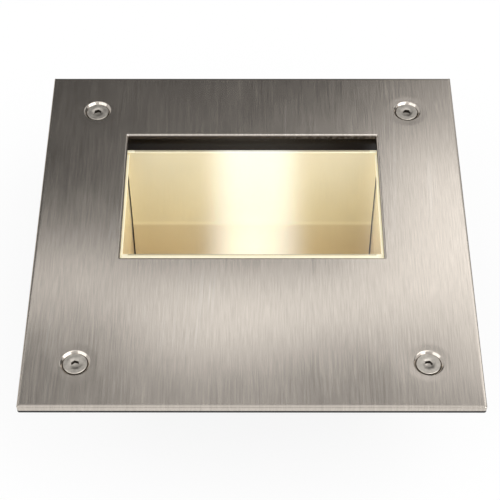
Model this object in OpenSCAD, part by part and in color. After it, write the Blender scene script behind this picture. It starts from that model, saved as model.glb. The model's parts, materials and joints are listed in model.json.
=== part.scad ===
// Recessed outdoor spotlight: a square steel plate with an offset window, over a gold
// reflector tray lit from the near side, in a die-cast tub that goes into the wall or ground.
// The tub stands on z = 0, the plate's face looks along +Z and the window lies towards +Y.

/* [Front plate] */
// Height of the whole light, from the tub's base to the plate's face
total_h = 60; // [58:1:80]
// Side of the square front plate
plate_side = 150; // [146:1:170]
// Thickness of the front plate
plate_t = 2; // [1.5:0.1:3]
// Chamfer along the plate's outer edge
plate_chamfer = 0.3; // [0.1:0.05:0.6]
// Width of the window
window_w = 91; // [80:1:94]
// Length of the window, from the near edge to the far edge
window_l = 58; // [54:1:60]
// Plate left between the window and the far edge
window_margin = 30; // [28:0.5:32]
// Chamfer along the window's upper edge
window_chamfer = 0.5; // [0.2:0.05:0.8]
// Distance from the plate's edges to the cover screws
screw_inset = 17.5; // [16.5:0.25:18.5]

/* [Plate gasket] */
// Thickness of the foam gasket behind the plate
gasket_t = 1; // [0.5:0.1:2]
// Distance from the plate's edge to the gasket's edge
gasket_inset = 0.5; // [0:0.1:2]
// Width of the gasket's band
gasket_band = 15.5; // [13:0.5:15.5]

/* [Cover screws] */
// Diameter of the countersunk head
head_d = 8; // [7:0.1:8.4]
// Height of the straight land at the head's edge
head_land = 0.4; // [0.2:0.05:0.6]
// Diameter of the countersink at the plate's face
sink_d = 9.8; // [9.6:0.1:10.4]
// Thread diameter of the cover screws
cover_screw_d = 4; // [3:0.5:4]
// Length of the cover screws
cover_screw_l = 14; // [12:1:16]
// Width across flats of the hex socket
socket_af = 2.5; // [2:0.1:3]
// Depth of the hex socket
socket_depth = 1.6; // [1:0.1:2]
// Outer diameter of the brass thread inserts
insert_d = 6; // [5.5:0.1:6.5]
// Length of the thread inserts
insert_l = 8; // [6:0.5:9]

/* [Glass] */
// Thickness of the glass pane
glass_t = 4; // [3:0.5:6]
// How far the glass reaches behind the plate on each side
glass_overlap = 6; // [5:0.5:6]
// Thickness of the silicone seal between plate and glass
seal_t = 0.5; // [0.3:0.1:1]
// Distance from the window's edge to the seal
seal_setback = 1; // [0.5:0.1:2]
// How far the clamping frame's lip reaches under the glass
frame_lip = 3; // [2:0.1:3.2]
// Thickness of that lip
frame_lip_t = 1; // [0.8:0.1:1.5]
// Width of the frame's long side bands, outside the glass
frame_side_band = 6.4; // [6:0.1:6.8]
// Width of the frame's end bands, outside the glass
frame_end_band = 2.7; // [2:0.1:3]
// Diameter of the weld studs
stud_d = 3; // [2.5:0.5:3]
// Length of the weld studs
stud_l = 9; // [8.5:0.1:9.5]
// Distance along Y between the weld studs
stud_pitch = 46; // [40:1:50]

/* [Housing] */
// Distance from the plate's edge to the housing's rim
rim_margin = 11; // [10:0.5:12]
// Depth of the shallow tray under the rim
rim_depth = 12; // [11.5:0.1:13]
// Wall of the housing
wall = 2.5; // [2:0.1:3]
// Clear width between the window's side and the tub's outer side
tub_side_room = 8.5; // [8.5:0.1:10]
// Clear length between the window's far edge and the tub's outer far side
tub_far_room = 15; // [14:0.5:16]
// Clear length between the reflector's near wall and the tub's inner near side
near_bay = 26.6; // [26:0.1:27]
// Outer diameter of the corner bosses
boss_d = 10; // [9:0.5:11]
// Length of the corner bosses
boss_l = 14; // [14:0.5:16]
// Corner radius of the tub
tub_corner_r = 5; // [3:0.5:6]
// Corner radius of the rim
rim_corner_r = 6; // [4:0.5:8]
// Thickness of the cooling ribs
rib_t = 2; // [1.5:0.1:3]
// Number of cooling ribs on the near side
near_ribs = 9; // [5:1:11]
// How far the near ribs stand out under the rim
near_rib_reach = 21; // [12:1:22]
// How far the side ribs stand out under the rim
side_rib_reach = 8; // [5:1:9]
// Distance between the side ribs
side_rib_pitch = 12; // [10:0.5:14]

/* [Mounting ears] */
// Distance along X between the ear holes
ear_pitch_x = 121; // [121:0.5:124]
// Distance along Y between the ear holes
ear_pitch_y = 52; // [46:1:54]
// Diameter of the ear holes
ear_hole_d = 4.5; // [4:0.1:5]
// Radius of the ears' round ends
ear_r = 6.5; // [6:0.1:7]
// Thickness of the ears
ear_t = 3.5; // [3:0.1:5]
// Distance from the tub's far side to the far ear holes
ear_far_inset = 10; // [8:0.5:14]

/* [Reflector] */
// Thickness of the reflector's sheet
sheet_t = 1; // [0.8:0.1:1.2]
// Clearance between the glass and the reflector's rim
rim_gap = 0.3; // [0.2:0.1:0.6]
// Distance from the window's far edge to the top of the slope
slope_setback = 3.9; // [3:0.1:5]
// Angle of the upper slope from the horizontal
slope_angle = 60.6; // [60:0.1:62]
// Angle of the lower slope from the horizontal
lower_angle = 55; // [54:0.5:60]
// Height of the upper slope
upper_slope_h = 24; // [20:0.5:26]
// Gap between the slope and the cheeks
crease_gap = 0.65; // [0.3:0.05:1]
// Distance from the window's near edge to the reflector's near wall
near_setback = 5.6; // [5:0.1:6]
// How far the cheeks stand outside the window's sides at the rim
cheek_setback = 1.3; // [1.1:0.1:1.5]
// How far the cheeks lean in for each millimetre of depth
cheek_taper = 0.075; // [0.05:0.005:0.08]
// How far the cheeks' folded hems reach inside the window's sides
hem_reach = 0.45; // [0.2:0.05:1]
// How far the near wall's folded hem reaches back
near_hem = 7; // [5:0.1:7]
// Room under the reflector for the leads
under_room = 6.5; // [6:0.5:7]

/* [Light source] */
// Height of the light source above the reflector's floor
led_height = 22; // [21:0.5:23]
// Width of the circuit board
board_w = 36; // [34:1:38]
// Height of the circuit board
board_h = 20; // [18:1:22]
// Thickness of the circuit board
board_t = 1.6; // [1:0.1:2]
// Gap between the board and the reflector's near wall, for the leads
board_gap = 2; // [1.8:0.1:2.2]
// Thickness of the thermal pad
pad_t = 0.5; // [0.3:0.1:1]
// Side of the square chip
chip_side = 15; // [13:0.5:15.5]
// Thickness of the chip
chip_t = 1; // [0.8:0.1:1.2]
// Diameter of the phosphor disc
phosphor_d = 12; // [9:0.5:12.5]
// Thickness of the phosphor disc
phosphor_t = 0.3; // [0.2:0.05:0.4]
// Diameter of the lens
lens_d = 14; // [13.5:0.1:14]
// Height of the lens
lens_h = 2.6; // [2:0.1:3]
// Outer diameter of the lens holder
holder_d = 24; // [23.5:0.1:25]
// Depth of the lens holder
holder_t = 4.5; // [4.2:0.1:5.5]
// Thickness of the holder's ears
holder_ear_t = 2.5; // [2:0.1:3]
// Distance between the holder's screws
holder_pitch = 29; // [28.5:0.1:29.5]
// Thickness of the heat spreader's upright
spreader_t = 3.5; // [3:0.1:4]
// Half width of the heat spreader
spreader_half = 24; // [23:0.5:24]
// Height of the heat spreader above the tub's floor
spreader_h = 43.5; // [40:0.5:45]

/* [Driver] */
// Length of the driver
driver_l = 62; // [56:1:62]
// Width of the driver
driver_w = 25.5; // [24:0.5:25.5]
// Height of the driver
driver_h = 16.5; // [15:0.5:17]
// Thickness of the driver's lid
driver_lid_t = 1.5; // [1:0.1:2]
// Clear length between the driver and the tub's far wall
driver_far_gap = 2.5; // [2:0.1:3]
// Length of the driver's ears
driver_ear = 6.6; // [6.4:0.1:7]

/* [Terminal block] */
// Distance between the poles
pole_pitch = 6; // [5.8:0.1:6]
// Depth of the block, along the leads
block_d = 15; // [14:0.5:15.5]
// Height of the block
block_h = 7; // [6.5:0.1:7.5]
// Length of a lever, from its pivot to its tip
lever_l = 11; // [9:0.5:11]
// Thickness of a lever
lever_t = 1.5; // [1.2:0.1:1.8]
// Diameter of the lever's pivot pins
pivot_d = 1.6; // [1.2:0.1:1.8]

/* [Gland and plug] */
// Thread diameter of the gland and the plug
gland_d = 16; // [14:0.5:16]
// Width across flats of the gland's hexagons
gland_af = 20; // [19:0.5:20.5]
// Length of the gland body's hexagon
gland_hex_l = 5; // [4:0.5:5.5]
// Length of the gland's dome nut
gland_nut_l = 12; // [11:0.5:12.5]
// Thickness of the locknuts
locknut_t = 4.6; // [4:0.1:5]
// Diameter of the seal's bore, which takes the supply cable
cable_bore_d = 7; // [5:0.5:8]
// Distance from the rim's floor down to the gland's and the plug's axis
gland_drop = 14; // [13:0.5:15]

/* [Leads] */
// Diameter of the mains leads
mains_lead_d = 2.2; // [1.8:0.1:2.2]
// Diameter of the light source's leads
led_lead_d = 1.6; // [1.2:0.1:1.6]
// Reach of a lead's bend, which sets how its route rounds each corner
lead_bend = 4; // [3.5:0.25:4.5]

/* [Clearances] */
// Radial clearance of parts that turn
running_gap = 0.05; // [0.02:0.01:0.08]
// Radial clearance of fixed screws in their holes
screw_gap = 0.2; // [0.1:0.05:0.3]
// Clearance round seated pieces
seat_gap = 0.3; // [0.2:0.05:0.4]

/* [Hidden] */
$fn = 64;

// Reach of a cut past the faces that it opens, and of a seat into the wall that it stands on
eps = 1;
sink = 0.5;

// Heights, from the plate's face down
plate_z = total_h - plate_t;
rim_z = plate_z - gasket_t;
glass_z = plate_z - seal_t - glass_t;
frame_z = glass_z - frame_lip_t;
refl_top = glass_z - rim_gap;
rim_floor_z = rim_z - rim_depth;
refl_floor = wall + under_room + sheet_t;
led_z = refl_floor + led_height;

// The window and the pieces set round it
plate_half = plate_side / 2;
window_half = window_w / 2;
window_far = plate_half - window_margin;
window_near = window_far - window_l;
window_mid = (window_far + window_near) / 2;
screw_at = plate_half - screw_inset;
head_sink = (sink_d - head_d) / 2 - head_land - running_gap;
glass_w = window_w + 2 * glass_overlap;
glass_l = window_l + 2 * glass_overlap;
glass_corner_r = 3;
frame_w = glass_w + 2 * (seat_gap + frame_side_band);
frame_l = glass_l + 2 * (seat_gap + frame_end_band);
frame_top_gap = 0.2;
stud_x = glass_w / 2 + seat_gap + frame_side_band / 2;
nut_af = 5.5;
nut_t = 2.4;

// Reflector
refl_near = window_near + near_setback;
slope_top_y = window_far - slope_setback;
bend_z = refl_top - upper_slope_h;
bend_y = slope_top_y - upper_slope_h / tan(slope_angle);
slope_foot_y = bend_y - (bend_z - refl_floor) / tan(lower_angle);
cheek_top_x = window_half + cheek_setback;
flange_l = 9;
tray_far = slope_foot_y + flange_l + 4;
cheek_past_slope = 0.1;
rivet_d = 3.2;
rivet_x = 25;

function cheek_x(z) = cheek_top_x - cheek_taper * (refl_top - z);

// Tub
tub_half = window_half + tub_side_room;
tub_in = tub_half - wall;
tub_far = window_far + tub_far_room;
tub_far_in = tub_far - wall;
tub_near_in = refl_near - near_bay;
tub_near = tub_near_in - wall;
rim_side = plate_side - 2 * rim_margin;
ear_mid_y = tub_far - ear_far_inset - ear_pitch_y / 2;
wing_x = tub_in - 0.7;

// Screws that hold the tray down, through the cheeks' feet
foot_l = 8;
tray_screw_x = wing_x - 2.5;
tray_screw_y = [refl_near + foot_l / 2 + 2, slope_foot_y - foot_l / 2];
tray_screw_d = 3;

// Light source: places along Y, from the near wall towards the spreader
board_face = refl_near - sheet_t - board_gap;
board_back = board_face - board_t;
spreader_face = board_back - pad_t;
spreader_back = spreader_face - spreader_t;
pocket_gap = 0.15;
pad_z = [led_z - 6.5, led_z + 7];
solder_x = board_w / 2 - 2.5;
solder_t = 0.15;

// Heat spreader's foot and the raised seat under it
foot_seat_z = wall + 3.5;
spreader_foot_t = 3.5;
hole_floor = 1;
foot_top = foot_seat_z + spreader_foot_t;
spreader_foot_near = tub_near_in + 1;
spreader_screw_x = 16;
spreader_screw_y = spreader_back - 5.2;
earth_y = spreader_back - 11;
m4_d = 4;
ring_barrel_x = -7.5;
ring_barrel_l = 4;
ring_barrel_r = 1.7;

// Driver
driver_far = tub_far_in - driver_far_gap;
driver_near = driver_far - driver_w;
driver_mid_y = (driver_far + driver_near) / 2;
driver_half = driver_l / 2;
driver_top = wall + driver_h;
driver_ear_z = wall + 3.5;
driver_ear_t = 2;
driver_hole_x = driver_half + driver_ear / 2;
lead_out_y = [-5, 3];
lead_out_z = driver_top - lead_bend - led_lead_d;
run_z = (wall + refl_floor - sheet_t) / 2;
led_run_x = spreader_half + 3 * lead_bend;
rise_y = refl_near - sheet_t - lead_bend;
m3_d = 3;

// Terminal block
block_wall = 0.8;
block_w = 3 * pole_pitch + block_wall;
block_left = -tub_in + 5.5;
block_near = tub_near_in + 1;
block_far = block_near + block_d;
block_z = wall + 2.5;
block_top = block_z + block_h;
lever_w = pole_pitch - block_wall - 0.4;
pivot_y = block_near + 2.2;
pivot_z = block_top + 1.2;
cheek_ear_h = 2.4;
pin_l = 0.5;
port_d = mains_lead_d + 0.4;
port_depth = 3;
port_z = block_z + block_h / 2 - 1;
lead_in = block_far - port_depth;

function pole_x(i) = block_left + block_wall / 2 + (i + 0.5) * pole_pitch;

// Gland and plug, on the tub's two sides in the near bay
gland_y = tub_near_in + tub_corner_r - wall + gland_af / 2 + 0.2;
gland_z = rim_floor_z - gland_drop;
gland_r = gland_d / 2;
washer_t = 1;
thread_past_nut = 0.7;
thread_in = wall + locknut_t + thread_past_nut;
gland_bore_r = 5.5;
cap_thread_r = 7.6;
cap_thread_l = 7;
seal_r = 6;
seal_l = 9;

// Finishes
steel = [0.66, 0.63, 0.60];
screw_steel = [0.55, 0.54, 0.53];
gold = [0.87, 0.74, 0.47];
powder = [0.16, 0.165, 0.17];
black = [0.07, 0.07, 0.07];
brass = [0.78, 0.64, 0.35];
raw_aluminium = [0.74, 0.75, 0.76];
lever_grey = [0.3, 0.33, 0.36];

// A rectangle about the origin with round corners
module round_rect(w, l, r) {
    square([w - 2 * r, l], center = true);
    square([w, l - 2 * r], center = true);
    for (x = [-1, 1], y = [-1, 1])
        translate([x * (w / 2 - r), y * (l / 2 - r)])
            circle(r);
}

// A block with round upright edges, centred on (0, mid_y)
module round_block(w, l, h, r, mid_y = 0) {
    translate([0, mid_y, 0])
        linear_extrude(h)
            round_rect(w, l, r);
}

// A trapezoid prism along Y: half widths at the bottom and the top
module prism_y(low_half, high_half, h, reach) {
    rotate([90, 0, 0])
        linear_extrude(2 * reach, center = true)
            polygon([[-low_half, 0], [low_half, 0], [high_half, h], [-high_half, h]]);
}

// A rectangular frustum about the Z axis
module frustum(low_x, low_y, high_x, high_y, h) {
    intersection() {
        prism_y(low_x, high_x, h, 2 * max(low_y, high_y));
        rotate([0, 0, 90])
            prism_y(low_y, high_y, h, 2 * max(low_x, high_x));
    }
}

// A profile drawn in Y and Z, extruded along X about the middle
module along_x(half) {
    rotate([90, 0, 90])
        linear_extrude(2 * half, center = true)
            children();
}

// A hexagonal prism given by its width across flats
module hexagon(af, h) {
    cylinder(h = h, r = af / 2 / cos(30), $fn = 6);
}

// A pan head screw along -Z, its head's seat at z = 0, with a cross recess
module pan_screw(d, l, head_r, head_h) {
    difference() {
        union() {
            cylinder(h = head_h, r1 = head_r, r2 = head_r - 0.4);
            translate([0, 0, -l])
                cylinder(h = l + 0.1, r = d / 2);
        }
        for (turn = [0, 90])
            rotate([0, 0, turn])
                translate([-head_r * 0.55, -0.3, head_h - 0.9])
                    cube([head_r * 1.1, 0.6, 0.9 + eps]);
    }
}

// Puts its children at the four cover screws
module at_cover_screws() {
    for (x = [-1, 1], y = [-1, 1])
        translate([x * screw_at, y * screw_at, 0])
            children();
}

// Puts its children at the four weld studs
module at_studs() {
    for (x = [-1, 1], y = [-1, 1])
        translate([x * stud_x, window_mid - 1 + y * stud_pitch / 2, 0])
            children();
}

// Puts its children at the four screws of the reflector
module at_tray_screws() {
    for (x = [-1, 1], y = tray_screw_y)
        translate([x * tray_screw_x, y, 0])
            children();
}

// Front plate

module front_plate() {
    sink_r = sink_d / 2;
    color(steel)
        translate([0, 0, plate_z])
            difference() {
                intersection() {
                    round_block(plate_side, plate_side, plate_t, 0.8);
                    union() {
                        translate([0, 0, plate_t - plate_chamfer])
                            frustum(plate_half, plate_half, plate_half - plate_chamfer,
                                plate_half - plate_chamfer, plate_chamfer);
                        translate([-plate_half, -plate_half, 0])
                            cube([plate_side, plate_side, plate_t - plate_chamfer]);
                    }
                }
                translate([-window_half, window_near, -eps])
                    cube([window_w, window_l, plate_t + 2 * eps]);
                translate([0, window_mid, plate_t - window_chamfer])
                    frustum(window_half, window_l / 2, window_half + window_chamfer + eps,
                        window_l / 2 + window_chamfer + eps, window_chamfer + eps);
                at_cover_screws()
                    translate([0, 0, plate_t - sink_r])
                        cylinder(h = sink_r + eps, r1 = 0, r2 = sink_r + eps);
            }
}

module plate_gasket() {
    outer = plate_side - 2 * gasket_inset;
    inner = outer - 2 * gasket_band;
    color(black)
        translate([0, 0, rim_z])
            difference() {
                union() {
                    difference() {
                        round_block(outer, outer, gasket_t, 0.8);
                        translate([0, 0, -eps])
                            round_block(inner, inner, gasket_t + 2 * eps, 3);
                    }
                    at_cover_screws()
                        cylinder(h = gasket_t, r = boss_d / 2);
                }
                at_cover_screws()
                    translate([0, 0, -eps])
                        cylinder(h = gasket_t + 2 * eps, r = cover_screw_d / 2 + 1.2);
            }
}

module frame_studs() {
    color(screw_steel)
        at_studs()
            translate([0, 0, plate_z - stud_l])
                cylinder(h = stud_l, r = stud_d / 2);
}

module glass_seal() {
    color(black)
        translate([0, 0, plate_z - seal_t])
            difference() {
                round_block(glass_w, glass_l, seal_t, glass_corner_r, window_mid);
                translate([0, 0, -eps])
                    round_block(window_w + 2 * seal_setback, window_l + 2 * seal_setback,
                        seal_t + 2 * eps, 1, window_mid);
            }
}

module glass_pane() {
    color([0.82, 0.9, 0.88, 0.35])
        translate([0, 0, glass_z])
            round_block(glass_w, glass_l, glass_t, glass_corner_r, window_mid);
}

module glass_frame() {
    color(black)
        difference() {
            translate([0, 0, frame_z])
                round_block(frame_w, frame_l, plate_z - frame_z - frame_top_gap, 5, window_mid);
            translate([0, 0, glass_z])
                round_block(glass_w + 2 * seat_gap, glass_l + 2 * seat_gap,
                    plate_z, glass_corner_r + seat_gap, window_mid);
            translate([0, 0, frame_z - eps])
                round_block(glass_w - 2 * frame_lip, glass_l - 2 * frame_lip, plate_z, 2, window_mid);
            at_studs()
                translate([0, 0, frame_z - eps])
                    cylinder(h = plate_z, r = stud_d / 2 + screw_gap);
            at_cover_screws()
                translate([0, 0, frame_z - eps])
                    cylinder(h = plate_z, r = boss_d / 2 + 1);
        }
}

module frame_nuts() {
    color(screw_steel)
        at_studs()
            translate([0, 0, frame_z - nut_t])
                difference() {
                    hexagon(nut_af, nut_t);
                    translate([0, 0, -eps])
                        cylinder(h = nut_t + 2 * eps, r = stud_d / 2 + running_gap);
                }
}

// A countersunk hex socket screw, its head's top at z = 0, its socket turned by an angle
module cover_screw(turn) {
    head_r = head_d / 2;
    shank_r = cover_screw_d / 2;
    cone_h = head_r - shank_r;
    socket_r = socket_af / 2 / cos(30);
    color(screw_steel)
        rotate([0, 0, turn])
            difference() {
                union() {
                    translate([0, 0, -head_land])
                        cylinder(h = head_land, r = head_r);
                    translate([0, 0, -head_land - cone_h])
                        cylinder(h = cone_h, r1 = shank_r, r2 = head_r);
                    translate([0, 0, 0.4 - cover_screw_l])
                        cylinder(h = cover_screw_l - head_land - cone_h - 0.4, r = shank_r);
                    translate([0, 0, -cover_screw_l])
                        cylinder(h = 0.4, r1 = shank_r - 0.4, r2 = shank_r);
                }
                translate([0, 0, -socket_depth])
                    hexagon(socket_af, socket_depth + eps);
                translate([0, 0, 0.2 - socket_r])
                    cylinder(h = socket_r + eps, r1 = 0, r2 = socket_r + eps);
            }
}

module cover_screw_near_left() {
    translate([-screw_at, -screw_at, total_h - head_sink])
        cover_screw(12);
}

module cover_screw_near_right() {
    translate([screw_at, -screw_at, total_h - head_sink])
        cover_screw(38);
}

module cover_screw_far_left() {
    translate([-screw_at, screw_at, total_h - head_sink])
        cover_screw(52);
}

module cover_screw_far_right() {
    translate([screw_at, screw_at, total_h - head_sink])
        cover_screw(25);
}

// Housing

// Triangular ribs between the tub and the rim's floor, drawn for a wall that faces -Y
module rib(reach, foot_z) {
    translate([-rib_t / 2, 0, 0])
        rotate([90, 0, 90])
            linear_extrude(rib_t)
                polygon([[0.5, foot_z], [0.5, rim_floor_z + 0.5], [-reach, rim_floor_z + 0.5],
                    [-reach, rim_floor_z - 2], [0, foot_z]]);
}

module mounting_ear() {
    length = ear_pitch_x / 2 - tub_half + 2;
    linear_extrude(ear_t)
        union() {
            circle(ear_r);
            translate([-length, -ear_r])
                square([length, 2 * ear_r]);
        }
}

module housing_outside() {
    tub_mid = (tub_near + tub_far) / 2;
    translate([0, 0, rim_floor_z])
        round_block(rim_side, rim_side, rim_z - rim_floor_z, rim_corner_r);
    round_block(2 * tub_half, tub_far - tub_near, rim_floor_z + 1, tub_corner_r, tub_mid);
    at_cover_screws()
        translate([0, 0, rim_z - boss_l])
            cylinder(h = boss_l, r = boss_d / 2);
    for (i = [0 : near_ribs - 1])
        translate([(i / (near_ribs - 1) - 0.5) * 2 * (tub_half - tub_corner_r), tub_near, 0])
            rib(near_rib_reach, 6);
    for (side = [-1, 1], k = [-0.5, 0.5, 1.5])
        translate([side * tub_half, ear_mid_y + k * side_rib_pitch, 0])
            rotate([0, 0, side * 90])
                rib(side_rib_reach, 12);
    for (y = [-1, 1]) {
        translate([ear_pitch_x / 2, ear_mid_y + y * ear_pitch_y / 2, 0])
            mounting_ear();
        translate([-ear_pitch_x / 2, ear_mid_y + y * ear_pitch_y / 2, 0])
            rotate([0, 0, 180])
                mounting_ear();
    }
}

module housing_hollows() {
    rim_in = rim_side - 2 * wall;
    tub_mid = (tub_near_in + tub_far_in) / 2;
    difference() {
        translate([0, 0, rim_floor_z + wall])
            round_block(rim_in, rim_in, rim_depth, rim_corner_r - wall);
        at_cover_screws()
            translate([0, 0, rim_floor_z])
                cylinder(h = rim_depth, r = boss_d / 2);
    }
    translate([0, 0, wall])
        round_block(2 * tub_in, tub_far_in - tub_near_in, total_h, tub_corner_r - wall, tub_mid);
    at_cover_screws() {
        translate([0, 0, rim_z - insert_l])
            cylinder(h = insert_l + eps, r = insert_d / 2);
        translate([0, 0, rim_z - boss_l + 1])
            cylinder(h = boss_l, r = cover_screw_d / 2 + screw_gap);
    }
    for (side = [-1, 1])
        translate([side * tub_half, gland_y, gland_z])
            rotate([0, 90, 0])
                cylinder(h = 4 * wall, r = gland_r + screw_gap, center = true);
    for (x = [-1, 1], y = [-1, 1])
        translate([x * ear_pitch_x / 2, ear_mid_y + y * ear_pitch_y / 2, -eps])
            cylinder(h = ear_t + 2 * eps, r = ear_hole_d / 2);
}

// The posts, seats and cradle that stand on the tub's floor
module housing_seats() {
    intersection() {
        at_tray_screws()
            translate([0, 0, wall - sink])
                cylinder(h = under_room + sink, r = 3.6);
        translate([-tub_half + 1, -plate_half, 0])
            cube([2 * tub_half - 2, plate_side, rim_z]);
    }
    translate([-spreader_half + 2, spreader_foot_near + 2, wall - sink])
        cube([2 * spreader_half - 4, spreader_face - spreader_foot_near - 4,
            foot_seat_z - wall + sink]);
    for (x = [-1, 1])
        translate([x * driver_hole_x, driver_mid_y, wall - sink])
            cylinder(h = driver_ear_z - wall + sink, r = 3);
    translate([block_left, block_near, wall - sink])
        cube([block_w, block_d, block_z - wall + sink]);
}

// The screw holes in the seats, which end short of the tub's base
module seat_holes() {
    at_tray_screws()
        translate([0, 0, wall])
            cylinder(h = under_room + eps, r = tray_screw_d / 2 + running_gap);
    for (x = [-1, 1]) {
        translate([x * spreader_screw_x, spreader_screw_y, hole_floor])
            cylinder(h = foot_seat_z, r = m4_d / 2 + running_gap);
        translate([x * driver_hole_x, driver_mid_y, hole_floor])
            cylinder(h = driver_ear_z, r = m3_d / 2 + running_gap);
    }
    translate([0, earth_y, hole_floor])
        cylinder(h = foot_seat_z, r = m4_d / 2 + running_gap);
}

module housing() {
    color(powder)
        difference() {
            union() {
                difference() {
                    housing_outside();
                    housing_hollows();
                }
                housing_seats();
            }
            seat_holes();
        }
}

module thread_inserts() {
    color(brass)
        at_cover_screws()
            translate([0, 0, rim_z - insert_l])
                difference() {
                    cylinder(h = insert_l, r = insert_d / 2);
                    translate([0, 0, -eps])
                        cylinder(h = insert_l + 2 * eps, r = cover_screw_d / 2 + running_gap);
                }
}

// Reflector

// The space between the two cheeks, drawn in by a gap on each side
module between_cheeks(gap) {
    translate([0, 0, refl_floor - sheet_t])
        prism_y(cheek_x(refl_floor - sheet_t) - gap, cheek_top_x - gap,
            refl_top - refl_floor + sheet_t, plate_side);
}

module reflector_slope() {
    upper_shift = sheet_t / sin(slope_angle);
    lower_shift = sheet_t / sin(lower_angle);
    flange_z = refl_floor + sheet_t;
    flange_y = slope_foot_y + sheet_t / tan(lower_angle);
    color(gold)
        difference() {
            intersection() {
                along_x(tub_half)
                    polygon([[slope_top_y, refl_top], [bend_y, bend_z], [slope_foot_y, refl_floor],
                        [flange_y + flange_l, refl_floor], [flange_y + flange_l, flange_z],
                        [flange_y + lower_shift, flange_z],
                        [bend_y + (upper_shift + lower_shift) / 2, bend_z],
                        [slope_top_y + upper_shift, refl_top]]);
                between_cheeks(crease_gap);
            }
            for (x = [-rivet_x, rivet_x])
                translate([x, slope_foot_y + flange_l - 2, refl_floor - eps])
                    cylinder(h = sheet_t + 2 * eps, r = rivet_d / 2);
        }
}

module reflector_tray() {
    hem_z = refl_top - sheet_t;
    window_x = holder_pitch / 2 + 3.5;
    color(gold)
        difference() {
            union() {
                translate([-wing_x, refl_near - sheet_t, refl_floor - sheet_t])
                    cube([2 * wing_x, tray_far - refl_near + sheet_t, sheet_t]);
                translate([-cheek_top_x - sheet_t, refl_near - sheet_t, refl_floor - sheet_t])
                    cube([2 * (cheek_top_x + sheet_t), sheet_t, refl_top - refl_floor + sheet_t]);
                translate([-cheek_top_x - sheet_t, refl_near - sheet_t - near_hem, hem_z])
                    cube([2 * (cheek_top_x + sheet_t), near_hem + sheet_t, sheet_t]);
            }
            at_tray_screws()
                translate([0, 0, refl_floor - 2 * sheet_t])
                    cylinder(h = 3 * sheet_t, r = tray_screw_d / 2 + screw_gap);
            for (x = [-rivet_x, rivet_x])
                translate([x, slope_foot_y + flange_l - 2, refl_floor - sheet_t - eps])
                    cylinder(h = sheet_t + 2 * eps, r = rivet_d / 2);
            translate([0, refl_near - sheet_t / 2, led_z])
                rotate([90, 0, 0])
                    cylinder(h = 3 * sheet_t, r = holder_d / 2 + 0.6, center = true);
            translate([-window_x, refl_near - 2 * sheet_t, led_z - 5])
                cube([2 * window_x, 3 * sheet_t, 10]);
        }
}

// The right cheek: a leaning sheet with a hem at its top and two feet
module cheek_sheet() {
    far_shift = sheet_t / sin(slope_angle) + cheek_past_slope;
    hem_z = refl_top - sheet_t;
    hem_in = window_half - hem_reach;
    foot_in = cheek_x(refl_floor);
    difference() {
        union() {
            intersection() {
                rotate([90, 0, 0])
                    linear_extrude(2 * plate_side, center = true)
                        polygon([[foot_in, refl_floor], [foot_in + sheet_t, refl_floor],
                            [cheek_top_x + sheet_t, refl_top], [cheek_top_x, refl_top]]);
                along_x(plate_side)
                    polygon([[refl_near, refl_floor], [slope_foot_y - 2, refl_floor],
                        [slope_foot_y + far_shift, refl_floor + 2], [bend_y + far_shift, bend_z],
                        [slope_top_y + far_shift, refl_top], [refl_near, refl_top]]);
            }
            translate([hem_in, refl_near, hem_z])
                cube([cheek_top_x + sheet_t - hem_in, slope_top_y - refl_near - 1, sheet_t]);
            for (y = tray_screw_y)
                translate([foot_in + sheet_t / 2, y - foot_l / 2, refl_floor])
                    cube([wing_x - foot_in - sheet_t / 2, foot_l, sheet_t]);
        }
        at_tray_screws()
            translate([0, 0, refl_floor - eps])
                cylinder(h = 3 * sheet_t, r = tray_screw_d / 2 + screw_gap);
    }
}

module reflector_cheek_right() {
    color(gold)
        cheek_sheet();
}

module reflector_cheek_left() {
    color(gold)
        mirror([1, 0, 0])
            cheek_sheet();
}

module reflector_screws() {
    color(screw_steel)
        at_tray_screws()
            translate([0, 0, refl_floor + sheet_t])
                pan_screw(tray_screw_d, under_room + sheet_t, 2.4, 1.8);
}

module reflector_rivets() {
    head_r = 3;
    color(raw_aluminium)
        for (x = [-rivet_x, rivet_x])
            translate([x, slope_foot_y + flange_l - 2, 0]) {
                translate([0, 0, refl_floor - sheet_t - 0.8])
                    cylinder(h = 2 * sheet_t + 1.6, r = rivet_d / 2);
                translate([0, 0, refl_floor + sheet_t])
                    cylinder(h = 0.8, r1 = head_r, r2 = head_r - 0.6);
                translate([0, 0, refl_floor - sheet_t - 0.8])
                    cylinder(h = 0.8, r = head_r - 0.8);
            }
}

// Light source

module heat_spreader() {
    color(raw_aluminium)
        difference() {
            union() {
                translate([-spreader_half, spreader_back, foot_seat_z])
                    cube([2 * spreader_half, spreader_t, spreader_h - foot_seat_z + wall]);
                translate([-spreader_half, spreader_foot_near, foot_seat_z])
                    cube([2 * spreader_half, spreader_face - spreader_foot_near, spreader_foot_t]);
            }
            for (x = [-1, 1])
                translate([x * spreader_screw_x, spreader_screw_y, 0])
                    cylinder(h = total_h / 2, r = m4_d / 2 + screw_gap);
            translate([0, earth_y, 0])
                cylinder(h = total_h / 2, r = m4_d / 2 + screw_gap);
            for (x = [-1, 1])
                translate([x * holder_pitch / 2, spreader_face, led_z])
                    rotate([90, 0, 0])
                        cylinder(h = 2 * spreader_t, r = m3_d / 2 + running_gap, center = true);
        }
}

module spreader_screws() {
    color(screw_steel)
        for (x = [-1, 1])
            translate([x * spreader_screw_x, spreader_screw_y, foot_top])
                pan_screw(m4_d, foot_top - 1.5, 3.8, 2.5);
}

// A plate that stands behind the near wall, with the holder's two screw holes
module board_layer(half, low, high, face, t) {
    difference() {
        translate([-half, face - t, low])
            cube([2 * half, t, high - low]);
        for (x = [-1, 1])
            translate([x * holder_pitch / 2, face - t / 2, led_z])
                rotate([90, 0, 0])
                    cylinder(h = t + 2 * eps, r = m3_d / 2 + screw_gap, center = true);
    }
}

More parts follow.
